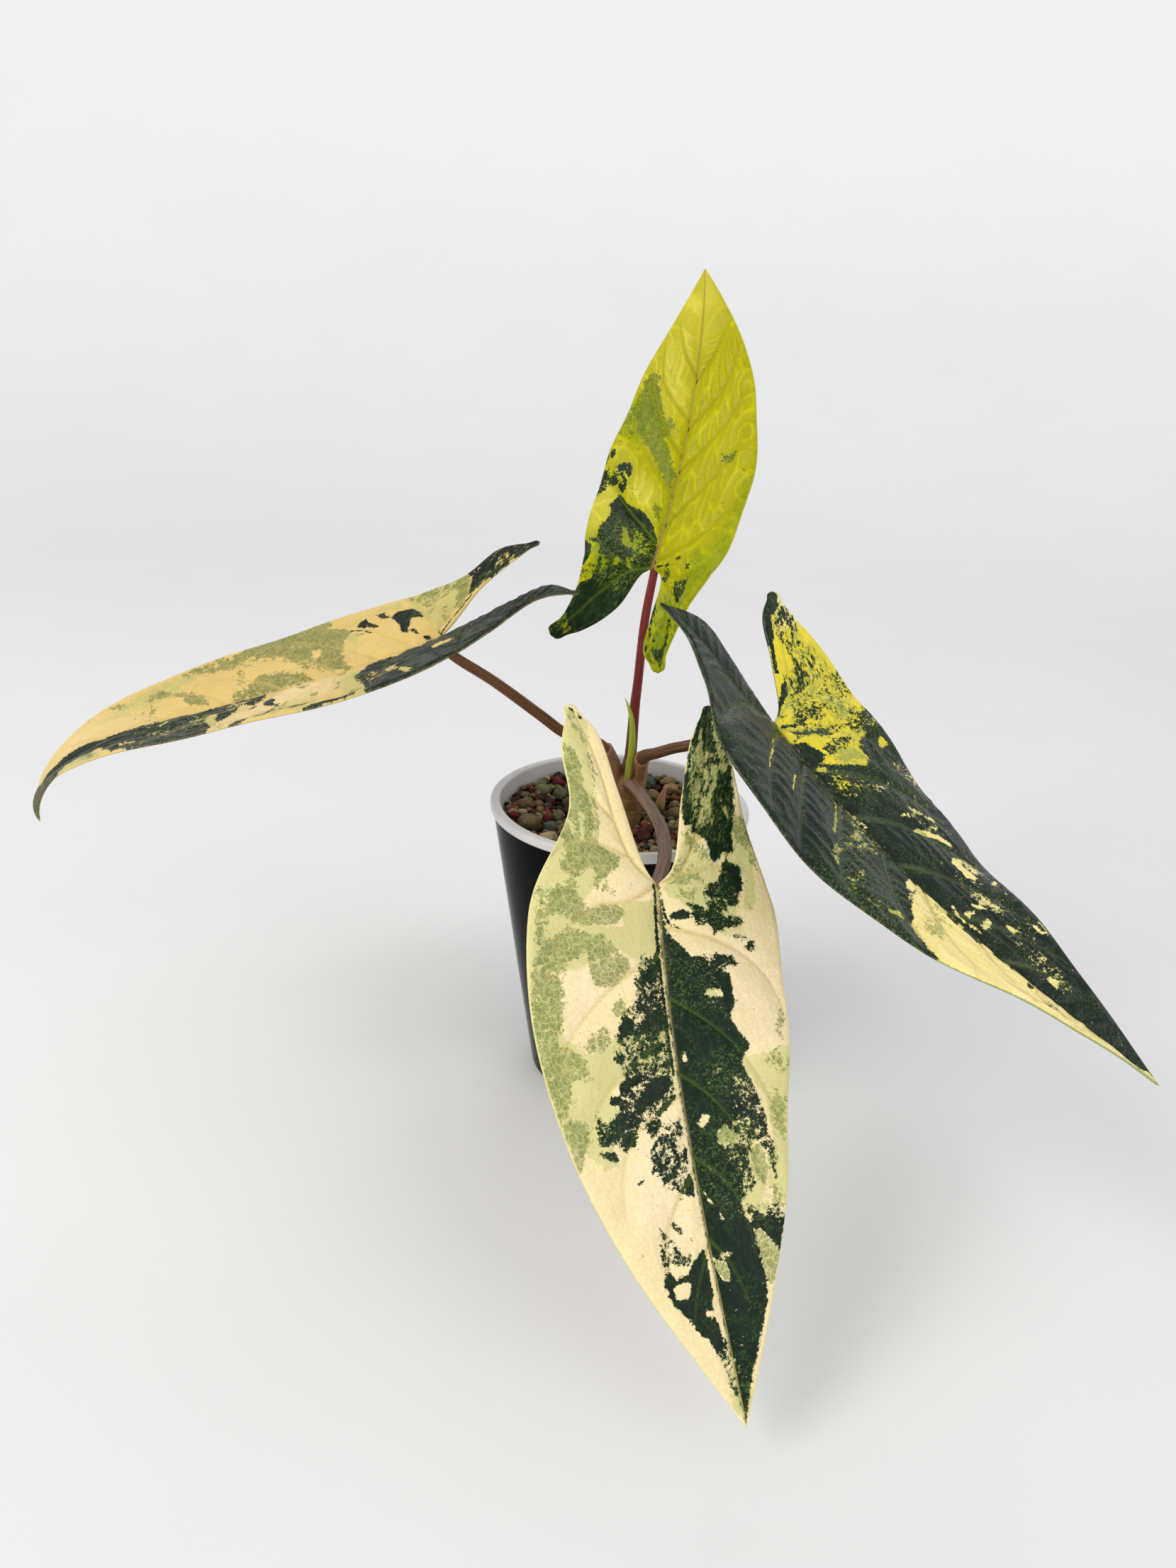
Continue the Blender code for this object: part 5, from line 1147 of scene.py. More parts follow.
leafRight = dict(
    at=(46.5, -53.5, 172.0), heading=-51.5, pitch=-33.0, roll=-0.5, length=151.0, arch=-12.0, tipArch=5.5,
    lobeLift=-12.5, sway=-20.5, tipSway=2.0, twist=5.0, lobeTwist=-3.0,
    left=dict(
        width=37.5, lobe=45.5, outer=(33.5, 29.0, 25.0), sinus=(4.5, 12.5, 18.0), blunt=2.2,
        fold=(21, 17, 15, 18), curl=(-1, -18, -32, 6)),
    right=dict(
        width=37.0, lobe=48.5, outer=(24.5, 19.5, 24.5), sinus=(0.8, 1.0, 5.0), blunt=0.8,
        fold=(21, 22, 13, 30), curl=(-13, -17, -15, -11)),
    relief=dict(
        quilt=0.60, groove=0.45, ladder=(0.30, 0.38), net=0.04, channel=0.5, ladderStep=4.8,
        ladderReach=3.6, wave=0.7, ribWidth=0.45),
    veins=dict(
        left=(
            ((0, 3), (-12, 9), (-24, 14), (-34, 24)), ((0, 20), (-12, 28), (-24, 40), (-31, 54)),
            ((0, 40), (-10, 48), (-20, 60), (-26, 74)), ((0, 60), (-9, 70), (-16, 82), (-19, 95)),
            ((0, 80), (-7, 90), (-13, 102), (-16, 113)), ((0, 100), (-6, 109), (-10, 121)),
            ((0, 0), (-9, -5), (-15, -14), (-20, -28), (-24, -41)), ((-8, -4), (-20, -5), (-31, -2))),
        right=(
            ((0, 3), (12, 9), (22, 17), (33, 28)), ((0, 16), (10, 23), (22, 32), (34, 43)),
            ((0, 33), (12, 42), (28, 55), (33, 66)), ((0, 52), (9, 60), (18, 70), (24, 82)),
            ((0, 70), (8, 78), (15, 88), (19, 99)), ((0, 90), (7, 98), (13, 109)),
            ((0, 108), (5, 116), (9, 125)), ((0, 0), (7, -6), (10, -16), (12, -30), (18, -42)),
            ((6, -6), (16, -7), (27, -3)))),
    dark=(
        (1.0, 0.7, ((0, 9), (-2, 10), (-4.5, 11), (-6, 15), (-8, 18), (-6, 19.5), (-3.5, 20), (-8, 22),
                    (-14, 25), (-19, 27.3), (-21.5, 25), (-21.5, 20), (-24, 17.5), (-28, 16.5), (-31, 14),
                    (-40, 14), (-40, 30), (-38, 45), (-36, 62), (-32, 80), (-26, 98), (-18, 118), (-9, 136),
                    (-1, 149), (0, 140))),
        (0.7, 0.9, ((-38, 16), (-28, 16), (-28, 11), (-33, 6), (-37, 6), (-38, 11))),
        (1.0, 0.5, ((-16, 11.5), (-14, 11.5), (-10, 9.5), (-6, 8.5), (-3, 6.5), (-2, 4.5), (-7, 6.5),
                    (-12, 8), (-15.5, 9.5))),
        (0.85, 0.4, ((-1.5, 2.5), (-5, 3.8), (-9, 5)), 1.2), (0.7, 0.6, ((-2, 9), (-5, 8.2)), 1.4),
        (0.74, 0.6, ((-21.5, 17), (-18, 17), (-16, 15), (-19, 14), (-21.5, 15.5))),
        (0.53, 1.2, ((-24, 17), (-16, 19), (-9, 19), (-7, 15), (-14, 14), (-22, 13))),
        (0.54, 1.2, ((-24, 12), (-12, 12), (-4, 8), (-3, 5), (-12, 6), (-22, 9))),
        (0.55, 1.0, ((-19, 4), (-12, 4.5), (-7, 4.5), (-8, 0), (-12, -3.5), (-18, -3))),
        (0.8, 0.6, ((-14, 1), (-10, 3), (-7, 4)), 1.2),
        (0.54, 1.0, ((-26, -9), (-19, -7), (-11, -5), (-9, -9), (-13, -15), (-20, -17), (-26, -16))),
        (0.54, 0.9, ((-35, 0), (-29, 0), (-28, -5), (-31, -12), (-35.5, -12))),
        (0.95, 0.5, ((-3, -3), (-6, -5.5), (-9, -8), (-11, -11)), 2.0),
        (0.56, 0.9, ((-20, -15), (-20, -20), (-21, -26)), 3.0),
        (0.9, 0.4, ((-11.5, -16.5), (-13.5, -22), (-15.5, -27)), 1.6),
        (0.53, 1.0, ((-27, -27), (-19, -26), (-18, -34), (-24, -43), (-28, -38))),
        (0.54, 1.2, ((-38, 6), (-35, 14), (-26, 15), (-22, 12), (-25, 7), (-31, 4))),
        (0.36, 2.0, ((-2, -2), (-12, -9), (-24, -30), (-30, -22), (-35, -8), (-36, 6), (-20, 8), (-5, 5))),
        (1.0, 0.5, ((-17.5, -28), (-15, -27), (-13, -26), (-15, -31), (-17, -38), (-20, -43), (-25, -48),
                    (-26, -43), (-23, -38), (-20.5, -37), (-19, -33))),
        (1.0, 0.7, ((0, 0), (1, -4), (0, -20), (2, -38), (8, -46), (16, -49), (26, -52), (22, -38),
                    (21, -30), (26, -16), (32, -5), (39, 10), (41, 25), (40, 45), (37, 60), (34, 72),
                    (29, 87), (27, 88), (26.5, 84), (24.5, 81.5), (24, 78), (22, 76.5), (18, 75),
                    (15, 72.3), (10, 71), (6, 69.5), (4, 68.3), (0, 69))),
        (1.0, 0.5, ((0, 81), (2, 80), (4, 80.5), (5.5, 82.5), (5, 84.5), (0, 84))),
        (1.0, 0.5, ((0, 86), (6, 86.3), (4.7, 88), (4.7, 91), (2, 92.5), (0, 93))),
        (1.0, 0.5, ((0, 96), (3, 97), (3.5, 99.5), (2, 101), (0, 101.3))),
        (0.95, 0.3, ((0, 102.5), (4.5, 103.3)), 0.9),
        (0.9, 0.5, ((3.5, 109.7), (5, 110.7), (8, 110.3), (8.5, 108.3), (5, 108))),
        (0.6, 0.5, ((1, 109), (3, 108.5)), 1.2), (0.56, 0.5, ((4, 112), (8, 111.7)), 1.0),
        (0.6, 0.5, ((10, 116), (13.5, 115.7), (12, 114)), 1.4),
        (0.5, 0.7, ((3, 119), (8, 118), (8, 116)), 1.2),
        (-0.95, 0.5, ((3, 65.5), (7, 66), (9, 67.5), (8.5, 69.5), (5, 68.5))),
        (-0.55, 0.6, ((9, 71), (14, 71.5), (13, 69.5), (9, 69.5))),
        (-0.40, 1.5, ((1, 42), (3, 53), (8, 54.5), (14, 53), (13, 49), (8, 44), (3, 40))),
        (-0.42, 0.8, ((7, 47), (9, 48.3), (13, 48), (12, 46), (8, 45.5))),
        (-0.38, 1.5, ((14, 50), (21, 49), (27, 52), (24, 48), (16, 46))),
        (-0.45, 0.8, ((21, 47), (27, 52)), 2.2),
        (-0.42, 1.5, ((20, 57), (25, 60), (32, 62), (33, 59), (27, 57))),
        (-0.42, 1.5, ((24, 66), (28, 69), (32, 68), (30, 65))), (-0.75, 0.5, ((23, 72), (26, 70.5)), 1.5),
        (-0.5, 0.7, ((20, 73), (24, 75), (25, 72))), (-0.28, 2.0, ((2, 40), (8, 42), (14, 40), (6, 35))),
        (-0.17, 3.0, ((-32, 44), (-16, 50), (-8, 80), (-6, 112), (-18, 108), (-32, 72))),
        (-1.0, 0.2, ((9.5, 7.5), (13, 10), (17, 13), (21, 15.5), (23, 17.5)), 0.5),
        (-1.0, 0.25, ((14.5, 22.5), (18, 24.5), (21, 27)), 0.5),
        (-0.9, 0.3, ((4, 34.5), (10, 38.5), (17, 43)), 0.8),
        (-1.0, 0.3, ((-24.5, 64), (-22, 60), (-19, 57), (-16.3, 54.7)), 1.6),
        (-1.0, 0.4, ((-20, 78.3), (-16, 76), (-17, 73), (-17, 69.5), (-19, 67.8), (-20.3, 70), (-19.5, 73),
                     (-20, 76))),
        (-0.85, 0.5, ((-23.5, 70.5), (-20.5, 71), (-20, 68.5))),
        (-1.0, 0.3, ((-13, 98), (-11, 96.5), (-11, 93.8), (-12, 94.3))),
        (-0.75, 0.4, ((-21.5, 100.5), (-20, 104.5), (-18, 103), (-18.5, 100.5)), 1.0),
        (-0.95, 0.4, ((-7.3, 114.8), (-4, 115.5), (-4.5, 112.5), (-6.5, 112.5))),
        (-0.85, 0.4, ((-7, 85), (-4, 85.7), (-3.5, 83), (-5, 83.5))),
        (-0.65, 0.5, ((-7.5, 90), (-5, 90)), 2.2), (-0.95, 0.3, ((-10.5, 86.3), (-8.2, 83.2)), 0.9),
        (-0.45, 0.8, ((-16, 91), (-12, 91), (-10, 80), (-15, 80))),
        (-0.7, 0.4, ((-24.5, 82.8), (-23.5, 82.8)), 1.6),
        (-0.45, 0.8, ((-25, 79), (-21, 78), (-20, 70), (-25, 70))),
        (-0.65, 0.5, ((-26, 54), (-23, 50), (-20.5, 47)), 1.8), (-0.6, 0.4, ((-20, 49.7), (-16, 48)), 1.3),
        (-0.45, 0.5, ((-25, 57), (-21, 56.5)), 1.3),
        (-0.40, 1.2, ((-38, 42), (-31, 40), (-30, 33), (-28, 29), (-31, 29), (-37, 32))),
        (-0.3, 1.0, ((-24, 37), (-14, 38), (-14, 33), (-24, 34))),
        (-0.95, 0.4, ((-35, 22), (-31, 23), (-31, 21.5), (-33.5, 18.2), (-34.5, 20))),
        (-0.34, 1.2, ((-17, 36), (-2, 34), (-1, 23), (-4, 22), (-12, 27))),
        (-0.8, 0.4, ((-4, 22.3), (-2.5, 21.3)), 1.7), (-0.6, 0.4, ((-0.8, 40), (-1.2, 45)), 1.0),
        (-0.65, 0.4, ((-2.5, 79.5), (-1.5, 85), (-2.3, 90)), 1.0),
        (-0.3, 1.5, ((-11, 120), (-3, 120), (-5, 104), (-11, 106)))),
    sage=(
        (1.0, 1.0, ((0, 36), (14, 38), (26, 46), (30, 54), (18, 58), (2, 58))),
        (0.7, 1.2, ((10, 79), (12, 82), (16, 86), (19, 84), (20, 79), (17, 77), (12, 77))),
        (0.6, 1.0, ((18, 76), (22, 76.5), (24, 78), (24.5, 81), (19, 81))),
        (0.42, 2.0, ((2, 84), (12, 84), (14, 74), (2, 72))),
        (0.85, 1.0, ((-21, 25), (-12, 24.5), (-9, 19), (-16, 19), (-20, 20))),
        (0.62, 1.5, ((-32, 8), (-20, 10), (-18, -4), (-28, -4))),
        (0.6, 1.5, ((-27, -8), (-20, -8), (-20, -24), (-26, -22))),
        (0.62, 1.5, ((-29, -24), (-23, -24), (-23, -40), (-27, -38))),
        (0.5, 1.5, ((-24, 15), (-12, 15), (-8, 12), (-20, 12))),
        (0.6, 4.0, ((22, 20), (38, 24), (38, 46), (24, 42))),
        (0.7, 1.5, ((3, 55), (12, 56), (20, 58), (24, 66), (20, 74), (12, 69), (6, 64), (2, 60))),
        (0.62, 1.5, ((-30, 50), (-16, 60), (-16, 44), (-30, 30))),
        (0.5, 2.0, ((-22, 98), (-8, 110), (-6, 90), (-20, 84)))),
    green=(
        (1.0, 5.0, ((16, 50), (26, 50), (38, 54), (38, 74), (26, 80), (14, 70))),
        (0.5, 5.0, ((2, 34), (16, 40), (20, 56), (4, 58))),
        (0.5, 4.0, ((-36, 10), (-8, 14), (-6, 40), (-30, 50))),
        (0.8, 4.0, ((20, 50), (34, 54), (34, 72), (22, 72))),
        (0.42, 2.0, ((0, 10), (-8, -6), (-26, -30), (-34, -12), (-34, 8), (-12, 12))),
        (0.5, 2.0, ((-33, 4), (-20, 6), (-18, -2), (-26, -6))),
        (0.45, 2.0, ((-28, -16), (-24, -14), (-24, -34), (-28, -30)))),
    pale=(
        (1.0, 2.5, ((-42, 30), (42, 42), (38, 56), (18, 58), (22, 74), (30, 92), (0, 156), (-38, 60))),
        (0.9, 2.0, ((-20, -31), (-31, -30), (-26, -48)))))

leafRightFinish = dict(
    ground=(0.74, 0.61, 0.03), greenGround=(0.46, 0.46, 0.05), paleGround=(0.88, 0.73, 0.27),
    sage=(0.42, 0.42, 0.09), deepSage=(0.30, 0.33, 0.06), dark=(0.004, 0.014, 0.006),
    fleck=(0.075, 0.125, 0.025), vein=(0.40, 0.40, 0.08), rib=(0.05, 0.065, 0.022), ridge=(1.15, 1.15, 1.5),
    darkRidge=(0.04, 0.058, 0.042), margin=(0.24, 0.30, 0.10), under=(0.30, 0.34, 0.20), roughness=0.25,
    shine=0.30, netAmount=0.3, marginWidth=0.28, greenEdge=0.2)

ribFront = buildLeaf("frontLeaf", "leaf_front", "leaf_cream", leafFront, leafFrontFinish, 1)
ribTop = buildLeaf("topLeaf", "leaf_top", "leaf_lime", leafTop, leafTopFinish, 2)
ribLeft = buildLeaf("leftLeaf", "leaf_left", "leaf_olive", leafLeft, leafLeftFinish, 3)
ribRight = buildLeaf("rightLeaf", "leaf_right", "leaf_dark", leafRight, leafRightFinish, 4)
print("leaves ready")


# Points and sizes along a smooth curve through the given ones.
def smoothRun(values, step):
    rows = np.array([(*point, *sizes) for point, *sizes in values], float)
    padded = lengthened(rows)
    run = []
    for index in range(1, len(rows)):
        before, start, end, after = padded[index - 1:index + 3]
        count = max(2, round(float(np.linalg.norm(end[:3] - start[:3])) / step))
        t = (np.arange(count) / count)[:, None]
        square = 2 * before - 5 * start + 4 * end - after
        cube = 3 * start - before - 3 * end + after
        run.append(0.5 * (2 * start + (end - before) * t + square * t ** 2 + cube * t ** 3))
    return np.vstack(run + [rows[-1:]])


# A closed stem of oval rings; shape(angle, along) swells or hollows the ring at each angle.
def loftParts(values, sides, step, shape=None):
    run = smoothRun(values, step)
    centres = run[:, :3]
    slopes = np.gradient(centres, axis=0)
    along = travelled(centres)
    angles = ringAngles(sides)
    across = Vector((1.0, 0.0, 0.0))
    points = []
    for row, (centre, slope, (width, depth)) in enumerate(zip(centres, slopes, run[:, 3:])):
        forward = Vector(slope).normalized()
        across = (across - forward * across.dot(forward)).normalized()
        wide = np.cos(angles)[:, None] * np.array(across) * width
        deep = np.sin(angles)[:, None] * np.array(forward.cross(across)) * depth
        swell = 1.0 if shape is None else shape(angles, along[row])[:, None]
        points.append(centre + swell * (wide + deep))
    rings = len(points)
    points = np.concatenate(points + [centres[:1], centres[-1:]])
    caps = np.concatenate([ringCap(0, sides, rings * sides)[:, ::-1],
                           ringCap((rings - 1) * sides, sides, rings * sides + 1)])
    turned = np.stack([np.tile(np.cos(angles), rings), np.tile(np.sin(angles), rings),
                       np.repeat(along, sides)], -1)
    turned = np.concatenate([turned, [[0.0, 0.0, 0.0], [0.0, 0.0, along[-1]]]])
    return points, [ringQuads(rings, sides), caps], turned, along[-1]


def stalkMaterial(name, finish):
    material, desk, shader = newMaterial(name, 0.16)
    streaks = desk.group(lengthwiseStreaks, place=desk.read("stalkPlace", "Vector")).outputs
    along = desk.read("alongShare")
    colour = desk.mix(desk.ramp(along, *finish["change"]), finish["base"], finish["upper"])
    colour = desk.mix(desk.ramp(along, 0.86, 0.99), colour, finish["end"])
    colour = desk.mix(desk.times(streaks["Streak"], finish["streakAmount"]), colour, finish["streak"])
    colour = desk.mix(desk.times(streaks["Fleck"], 0.35), colour, finish["fleck"])
    roughness = desk.plus(finish["roughness"], desk.times(streaks["Streak"], 0.12))
    desk.finish(shader, colour, roughness, streaks["Streak"], 0.5, 0.12)
    return material


# Shallow grooves run the length of a stalk, and fade where it thins into the leaf.
def grooved(count, depth, wander=0.0):
    def shape(angles, along):
        return 1.0 + depth * (np.abs(np.cos(0.5 * count * (angles + wander * along))) - 0.6)
    return shape


def buildStalk(name, nodeName, slotName, values, finish, shape, sides=48, step=0.8):
    points, faces, turned, total = loftParts(values, sides, step, shape)
    piece = makeMesh(name, points, faces, stalkMaterial(name + "Finish", finish),
                     values={"alongShare": turned[:, 2] / total}, vectors={"stalkPlace": turned})
    standFor(piece, slotName, nodeName)


# The stalk runs on under the leaf and thins out along its keel; a stop is (along, lift, share of size).
keelRun = dict(
    stops=((1.5, -1.3, 0.85), (6.0, -1.5, 0.62), (13.0, -1.25, 0.32), (20.0, -0.9, 0.08)), width=1.7,
    depth=1.2)


def intoLeaf(rib, settings):
    return tuple((tuple(rib.middle(y, lift)[0]), settings["width"] * size, settings["depth"] * size)
                 for y, lift, size in settings["stops"])


stalkFront = dict(
    points=(
        ((2.8, -4.3, 126.6), 2.5, 2.0), ((2.9, -5.3, 127.6), 2.6, 2.1), ((3.5, -10.0, 130.3), 2.5, 2.0),
        ((7.2, -22.0, 131.0), 2.3, 2.0), ((11.7, -40.0, 130.7), 2.3, 1.9), ((13.6, -56.0, 130.9), 2.3, 1.9),
        ((13.2, -72.0, 129.6), 2.2, 1.8), ((10.8, -82.6, 127.6), 1.9, 1.6)),
    finish=dict(
        base=(0.15, 0.088, 0.055), upper=(0.15, 0.088, 0.062), end=(0.34, 0.19, 0.13),
        streak=(0.30, 0.205, 0.155), fleck=(0.08, 0.040, 0.028), change=(0.2, 0.7), streakAmount=0.65,
        roughness=0.44))
stalkTop = dict(
    points=(
        ((2.6, 3.6, 124.0), 2.6, 2.0), ((2.6, 3.6, 127.3), 2.5, 1.9), ((3.2, 3.0, 139.0), 2.2, 1.9),
        ((3.5, 3.0, 156.0), 1.9, 1.8), ((4.1, 3.5, 167.0), 1.7, 1.7), ((5.1, 5.0, 188.5), 1.6, 1.6),
        ((7.2, 7.6, 204.8), 1.5, 1.3)),
    finish=dict(
        base=(0.15, 0.055, 0.022), upper=(0.150, 0.018, 0.014), end=(0.42, 0.26, 0.10),
        streak=(0.23, 0.042, 0.032), fleck=(0.07, 0.012, 0.012), change=(0.1, 0.3), streakAmount=0.6,
        roughness=0.36))
stalkLeft = dict(
    points=(
        ((-1.6, 1.5, 122.0), 2.4, 3.0), ((-2.2, 1.4, 127.4), 2.3, 3.0), ((-2.3, 1.4, 130.0), 2.3, 3.1),
        ((-3.7, 0.5, 135.0), 2.3, 3.2), ((-8.0, -2.0, 142.0), 2.2, 2.8), ((-15.0, -4.5, 145.6), 2.1, 2.2),
        ((-23.0, -6.0, 148.6), 2.0, 2.0), ((-31.0, -7.0, 154.6), 2.0, 2.0),
        ((-48.0, -10.0, 167.6), 1.9, 1.9), ((-61.5, -12.8, 176.6), 1.8, 1.8),
        ((-67.0, -14.3, 181.4), 1.5, 1.4)),
    finish=dict(
        base=(0.17, 0.078, 0.022), upper=(0.115, 0.044, 0.016), end=(0.28, 0.16, 0.06),
        streak=(0.20, 0.092, 0.038), fleck=(0.05, 0.018, 0.008), change=(0.08, 0.35), streakAmount=0.65,
        roughness=0.40))
stalkRight = dict(
    points=(
        ((6.6, 1.2, 122.0), 2.2, 2.8), ((7.3, 0.8, 127.4), 2.2, 2.8), ((7.3, 0.7, 130.0), 2.1, 2.8),
        ((7.0, -1.8, 135.0), 2.0, 2.7), ((7.6, -6.8, 140.6), 2.2, 2.4), ((12.0, -13.0, 144.6), 2.1, 2.1),
        ((17.5, -19.0, 149.0), 2.0, 2.0), ((23.2, -25.0, 152.8), 2.0, 2.0),
        ((34.0, -39.0, 161.8), 1.9, 1.9), ((44.5, -51.0, 170.4), 1.6, 1.5)),
    finish=dict(
        base=(0.16, 0.070, 0.022), upper=(0.075, 0.032, 0.018), end=(0.16, 0.10, 0.04),
        streak=(0.17, 0.085, 0.045), fleck=(0.035, 0.014, 0.008), change=(0.10, 0.32), streakAmount=0.7,
        roughness=0.40))
for name, nodeName, slotName, stalk, rib, shape in (
        ("frontStalk", "stalk_front", "stalk_mauve", stalkFront, ribFront, grooved(6, 0.10)),
        ("topStalk", "stalk_top", "stalk_crimson", stalkTop, ribTop, grooved(6, 0.06, 0.004)),
        ("leftStalk", "stalk_left", "stalk_brown", stalkLeft, ribLeft, grooved(8, 0.07, 0.003)),
        ("rightStalk", "stalk_right", "stalk_brown", stalkRight, ribRight, grooved(8, 0.08, 0.003))):
    buildStalk(name, nodeName, slotName, stalk["points"] + intoLeaf(rib, keelRun), stalk["finish"], shape)


# The rolled new leaf: a scroll whose overlapping edge shows as a step up its length.
def scroll(angles, along):
    turn = np.mod(angles / (fullTurn) - 0.62 - 0.006 * along, 1.0)
    return 0.90 + 0.20 * turn ** 3 + 0.05 * np.cos(2.0 * angles)


newLeaf = dict(
    points=(
        ((2.3, -1.6, 124.5), 1.1, 1.0), ((2.3, -1.8, 127.3), 1.15, 1.0), ((2.7, -2.2, 134.0), 1.35, 1.1),
        ((3.3, -2.6, 142.0), 1.35, 1.1), ((2.7, -2.8, 152.5), 1.0, 0.85), ((1.2, -2.9, 158.0), 0.6, 0.55),
        ((-0.4, -3.0, 161.9), 0.12, 0.12)),
    finish=dict(
        base=(0.36, 0.33, 0.05), upper=(0.34, 0.44, 0.022), end=(0.56, 0.60, 0.20),
        streak=(0.46, 0.53, 0.08), fleck=(0.22, 0.30, 0.02), change=(0.1, 0.45), streakAmount=0.6,
        roughness=0.36))
buildStalk("newLeafSpear", "new_leaf", "new_leaf_lime", newLeaf["points"], newLeaf["finish"], scroll, 56, 0.5)

basalShoot = dict(
    points=(
        ((17.0, 14.6, 105.0), 1.3, 1.2), ((17.0, 14.6, 110.0), 1.7, 1.5), ((17.0, 14.6, 113.0), 1.9, 1.6),
        ((17.5, 14.8, 116.0), 1.35, 1.1), ((18.3, 15.1, 118.6), 0.75, 0.6),
        ((19.1, 15.4, 120.6), 0.12, 0.12)),
    finish=dict(
        base=(0.34, 0.33, 0.07), upper=(0.52, 0.26, 0.15), end=(0.66, 0.42, 0.28),
        streak=(0.62, 0.36, 0.20), fleck=(0.36, 0.12, 0.08), change=(0.45, 0.68), streakAmount=0.5,
        roughness=0.46))
buildStalk("basalShootSpear", "basal_shoot", "shoot_pink", basalShoot["points"], basalShoot["finish"], scroll,
           40, 0.4)
print("stalks ready")

# A core and the sheaths that wrap it, joined into one skin; each row is a point and its half sizes.
# A ring that a fallen sheath has left is (depth, height, width, slant, turn).
stemBase = dict(
    voxel=0.42, smoothing=5, sides=40, step=1.0, centre=(2.5, 1.5), ridges=(9.0, 0.25, 0.10),
    roughening=(0.16, 0.35, 0.12), rings=((0.22, 117.2, 0.5, -0.7, 0.0), (0.18, 121.6, 0.4, 0.9, 1.0)),
    lofts=(
        (((1.5, 2.5, 86.0), 3.0, 3.0), ((1.5, 2.5, 90.0), 5.2, 5.0), ((1.8, 2.0, 101.0), 6.1, 5.5),
         ((2.3, 1.5, 112.0), 6.2, 5.3), ((2.5, 1.0, 120.0), 6.4, 5.1), ((2.5, 1.0, 126.0), 5.4, 4.4),
         ((2.6, 1.2, 130.0), 3.0, 2.6)),
        (((1.0, 1.6, 110.0), 4.0, 3.6), ((-0.8, 1.5, 120.0), 3.6, 3.6), ((-2.1, 1.4, 127.4), 2.9, 3.5),
         ((-2.5, 1.2, 131.0), 2.8, 3.6), ((-4.1, 0.3, 136.0), 2.75, 3.6), ((-5.9, -0.8, 139.2), 2.9, 3.75),
         ((-6.7, -1.25, 140.5), 3.05, 3.9), ((-7.0, -1.4, 140.9), 2.5, 3.2)),
        (((4.2, 1.2, 110.0), 4.0, 3.6), ((6.0, 1.1, 120.0), 3.3, 3.6), ((7.2, 0.8, 127.4), 2.7, 3.3),
         ((7.4, 0.5, 131.0), 2.7, 3.3), ((7.1, -1.9, 135.6), 2.75, 3.25), ((7.25, -3.8, 138.0), 3.0, 3.3),
         ((7.4, -4.7, 139.0), 3.05, 3.3), ((7.5, -5.0, 139.3), 2.5, 2.7)),
        (((2.6, 3.2, 118.0), 3.2, 2.8), ((2.7, 3.6, 128.0), 3.0, 2.4), ((3.0, 3.2, 136.0), 2.6, 2.25)),
        (((2.6, -1.0, 116.0), 3.2, 2.8), ((2.8, -3.6, 124.6), 3.0, 2.4), ((3.0, -5.6, 127.9), 2.85, 2.3))),
    finish=dict(
        tan=(0.27, 0.125, 0.050), ochre=(0.36, 0.205, 0.085), olive=(0.22, 0.155, 0.045),
        rust=(0.11, 0.040, 0.016), blush=(0.35, 0.185, 0.105)))


def stemMaterial(finish):
    material, desk, shader = newMaterial("stemBaseFinish", 0.35)
    place, height = desk.objectPlace(), desk.height()
    fibres = desk.noise(desk.scaled(place, (900.0, 900.0, 90.0)), 1.0, 4.0, 0.6)
    blots = desk.noise(place, 260.0, 4.0)
    mottle = desk.group(softMottle, scale=300.0, grain=2500.0).outputs
    colour = desk.mix(desk.ramp(height, 0.112, 0.126), finish["olive"], finish["tan"])
    colour = desk.mix(desk.times(desk.ramp(blots, 0.45, 0.62), 0.6), colour, finish["ochre"])
    colour = desk.mix(desk.ramp(height, 0.126, 0.139, 0.0, 0.75), colour, finish["blush"])
    colour = desk.mix(desk.times(desk.ramp(fibres, 0.52, 0.7), 0.55), colour, finish["rust"])
    colour = desk.mix(desk.times(mottle["Speck"], 0.5), colour, finish["rust"])
    roughness = desk.ramp(fibres, 0.3, 0.7, 0.42, 0.6)
    desk.finish(shader, colour, roughness, desk.plus(fibres, mottle["Grain"]), 0.4, 0.25)
    return material


def buildStemBase(settings):
    bm = bmesh.new()
    for values in settings["lofts"]:
        points, faces, _, _ = loftParts(values, settings["sides"], settings["step"])
        part = makeMesh("stemPart", points, faces, stemFinish)
        bm.from_mesh(part.data)
        bpy.data.objects.remove(part, do_unlink=True)
    mesh = bpy.data.meshes.new("stemBase")
    bm.to_mesh(mesh)
    bm.free()
    piece = addObject("stemBaseAndSheaths", mesh)
    skin = piece.modifiers.new("skin", "REMESH")
    skin.mode = "VOXEL"
    skin.voxel_size = settings["voxel"] * mm
    calm = piece.modifiers.new("calm", "SMOOTH")
    calm.factor = 0.5
    calm.iterations = settings["smoothing"]
    settleModifiers(piece)
    # lengthwise ridges, and the rings that fallen sheaths have left
    centreX, centreY = settings["centre"]
    count, lean, ridgeHeight = settings["ridges"]
    roughHeight, roundRate, alongRate = settings["roughening"]
    for vertex in piece.data.vertices:
        x, y, z = (value / mm for value in vertex.co)
        angle = math.atan2(y - centreY, x - centreX)
        rough = noise.noise((x * roundRate, y * roundRate, z * alongRate))
        lift = ridgeHeight * math.sin(count * angle + lean * z) + roughHeight * rough
        for depth, height, width, slant, turn in settings["rings"]:
            lift -= depth * math.exp(-((z - height + slant * math.sin(angle + turn)) / width) ** 2)
        vertex.co += vertex.normal * lift * mm
    piece.data.materials.clear()
    piece.data.materials.append(stemFinish)
    piece.data.shade_smooth()
    standFor(piece, "stem_tan", "stem_base")


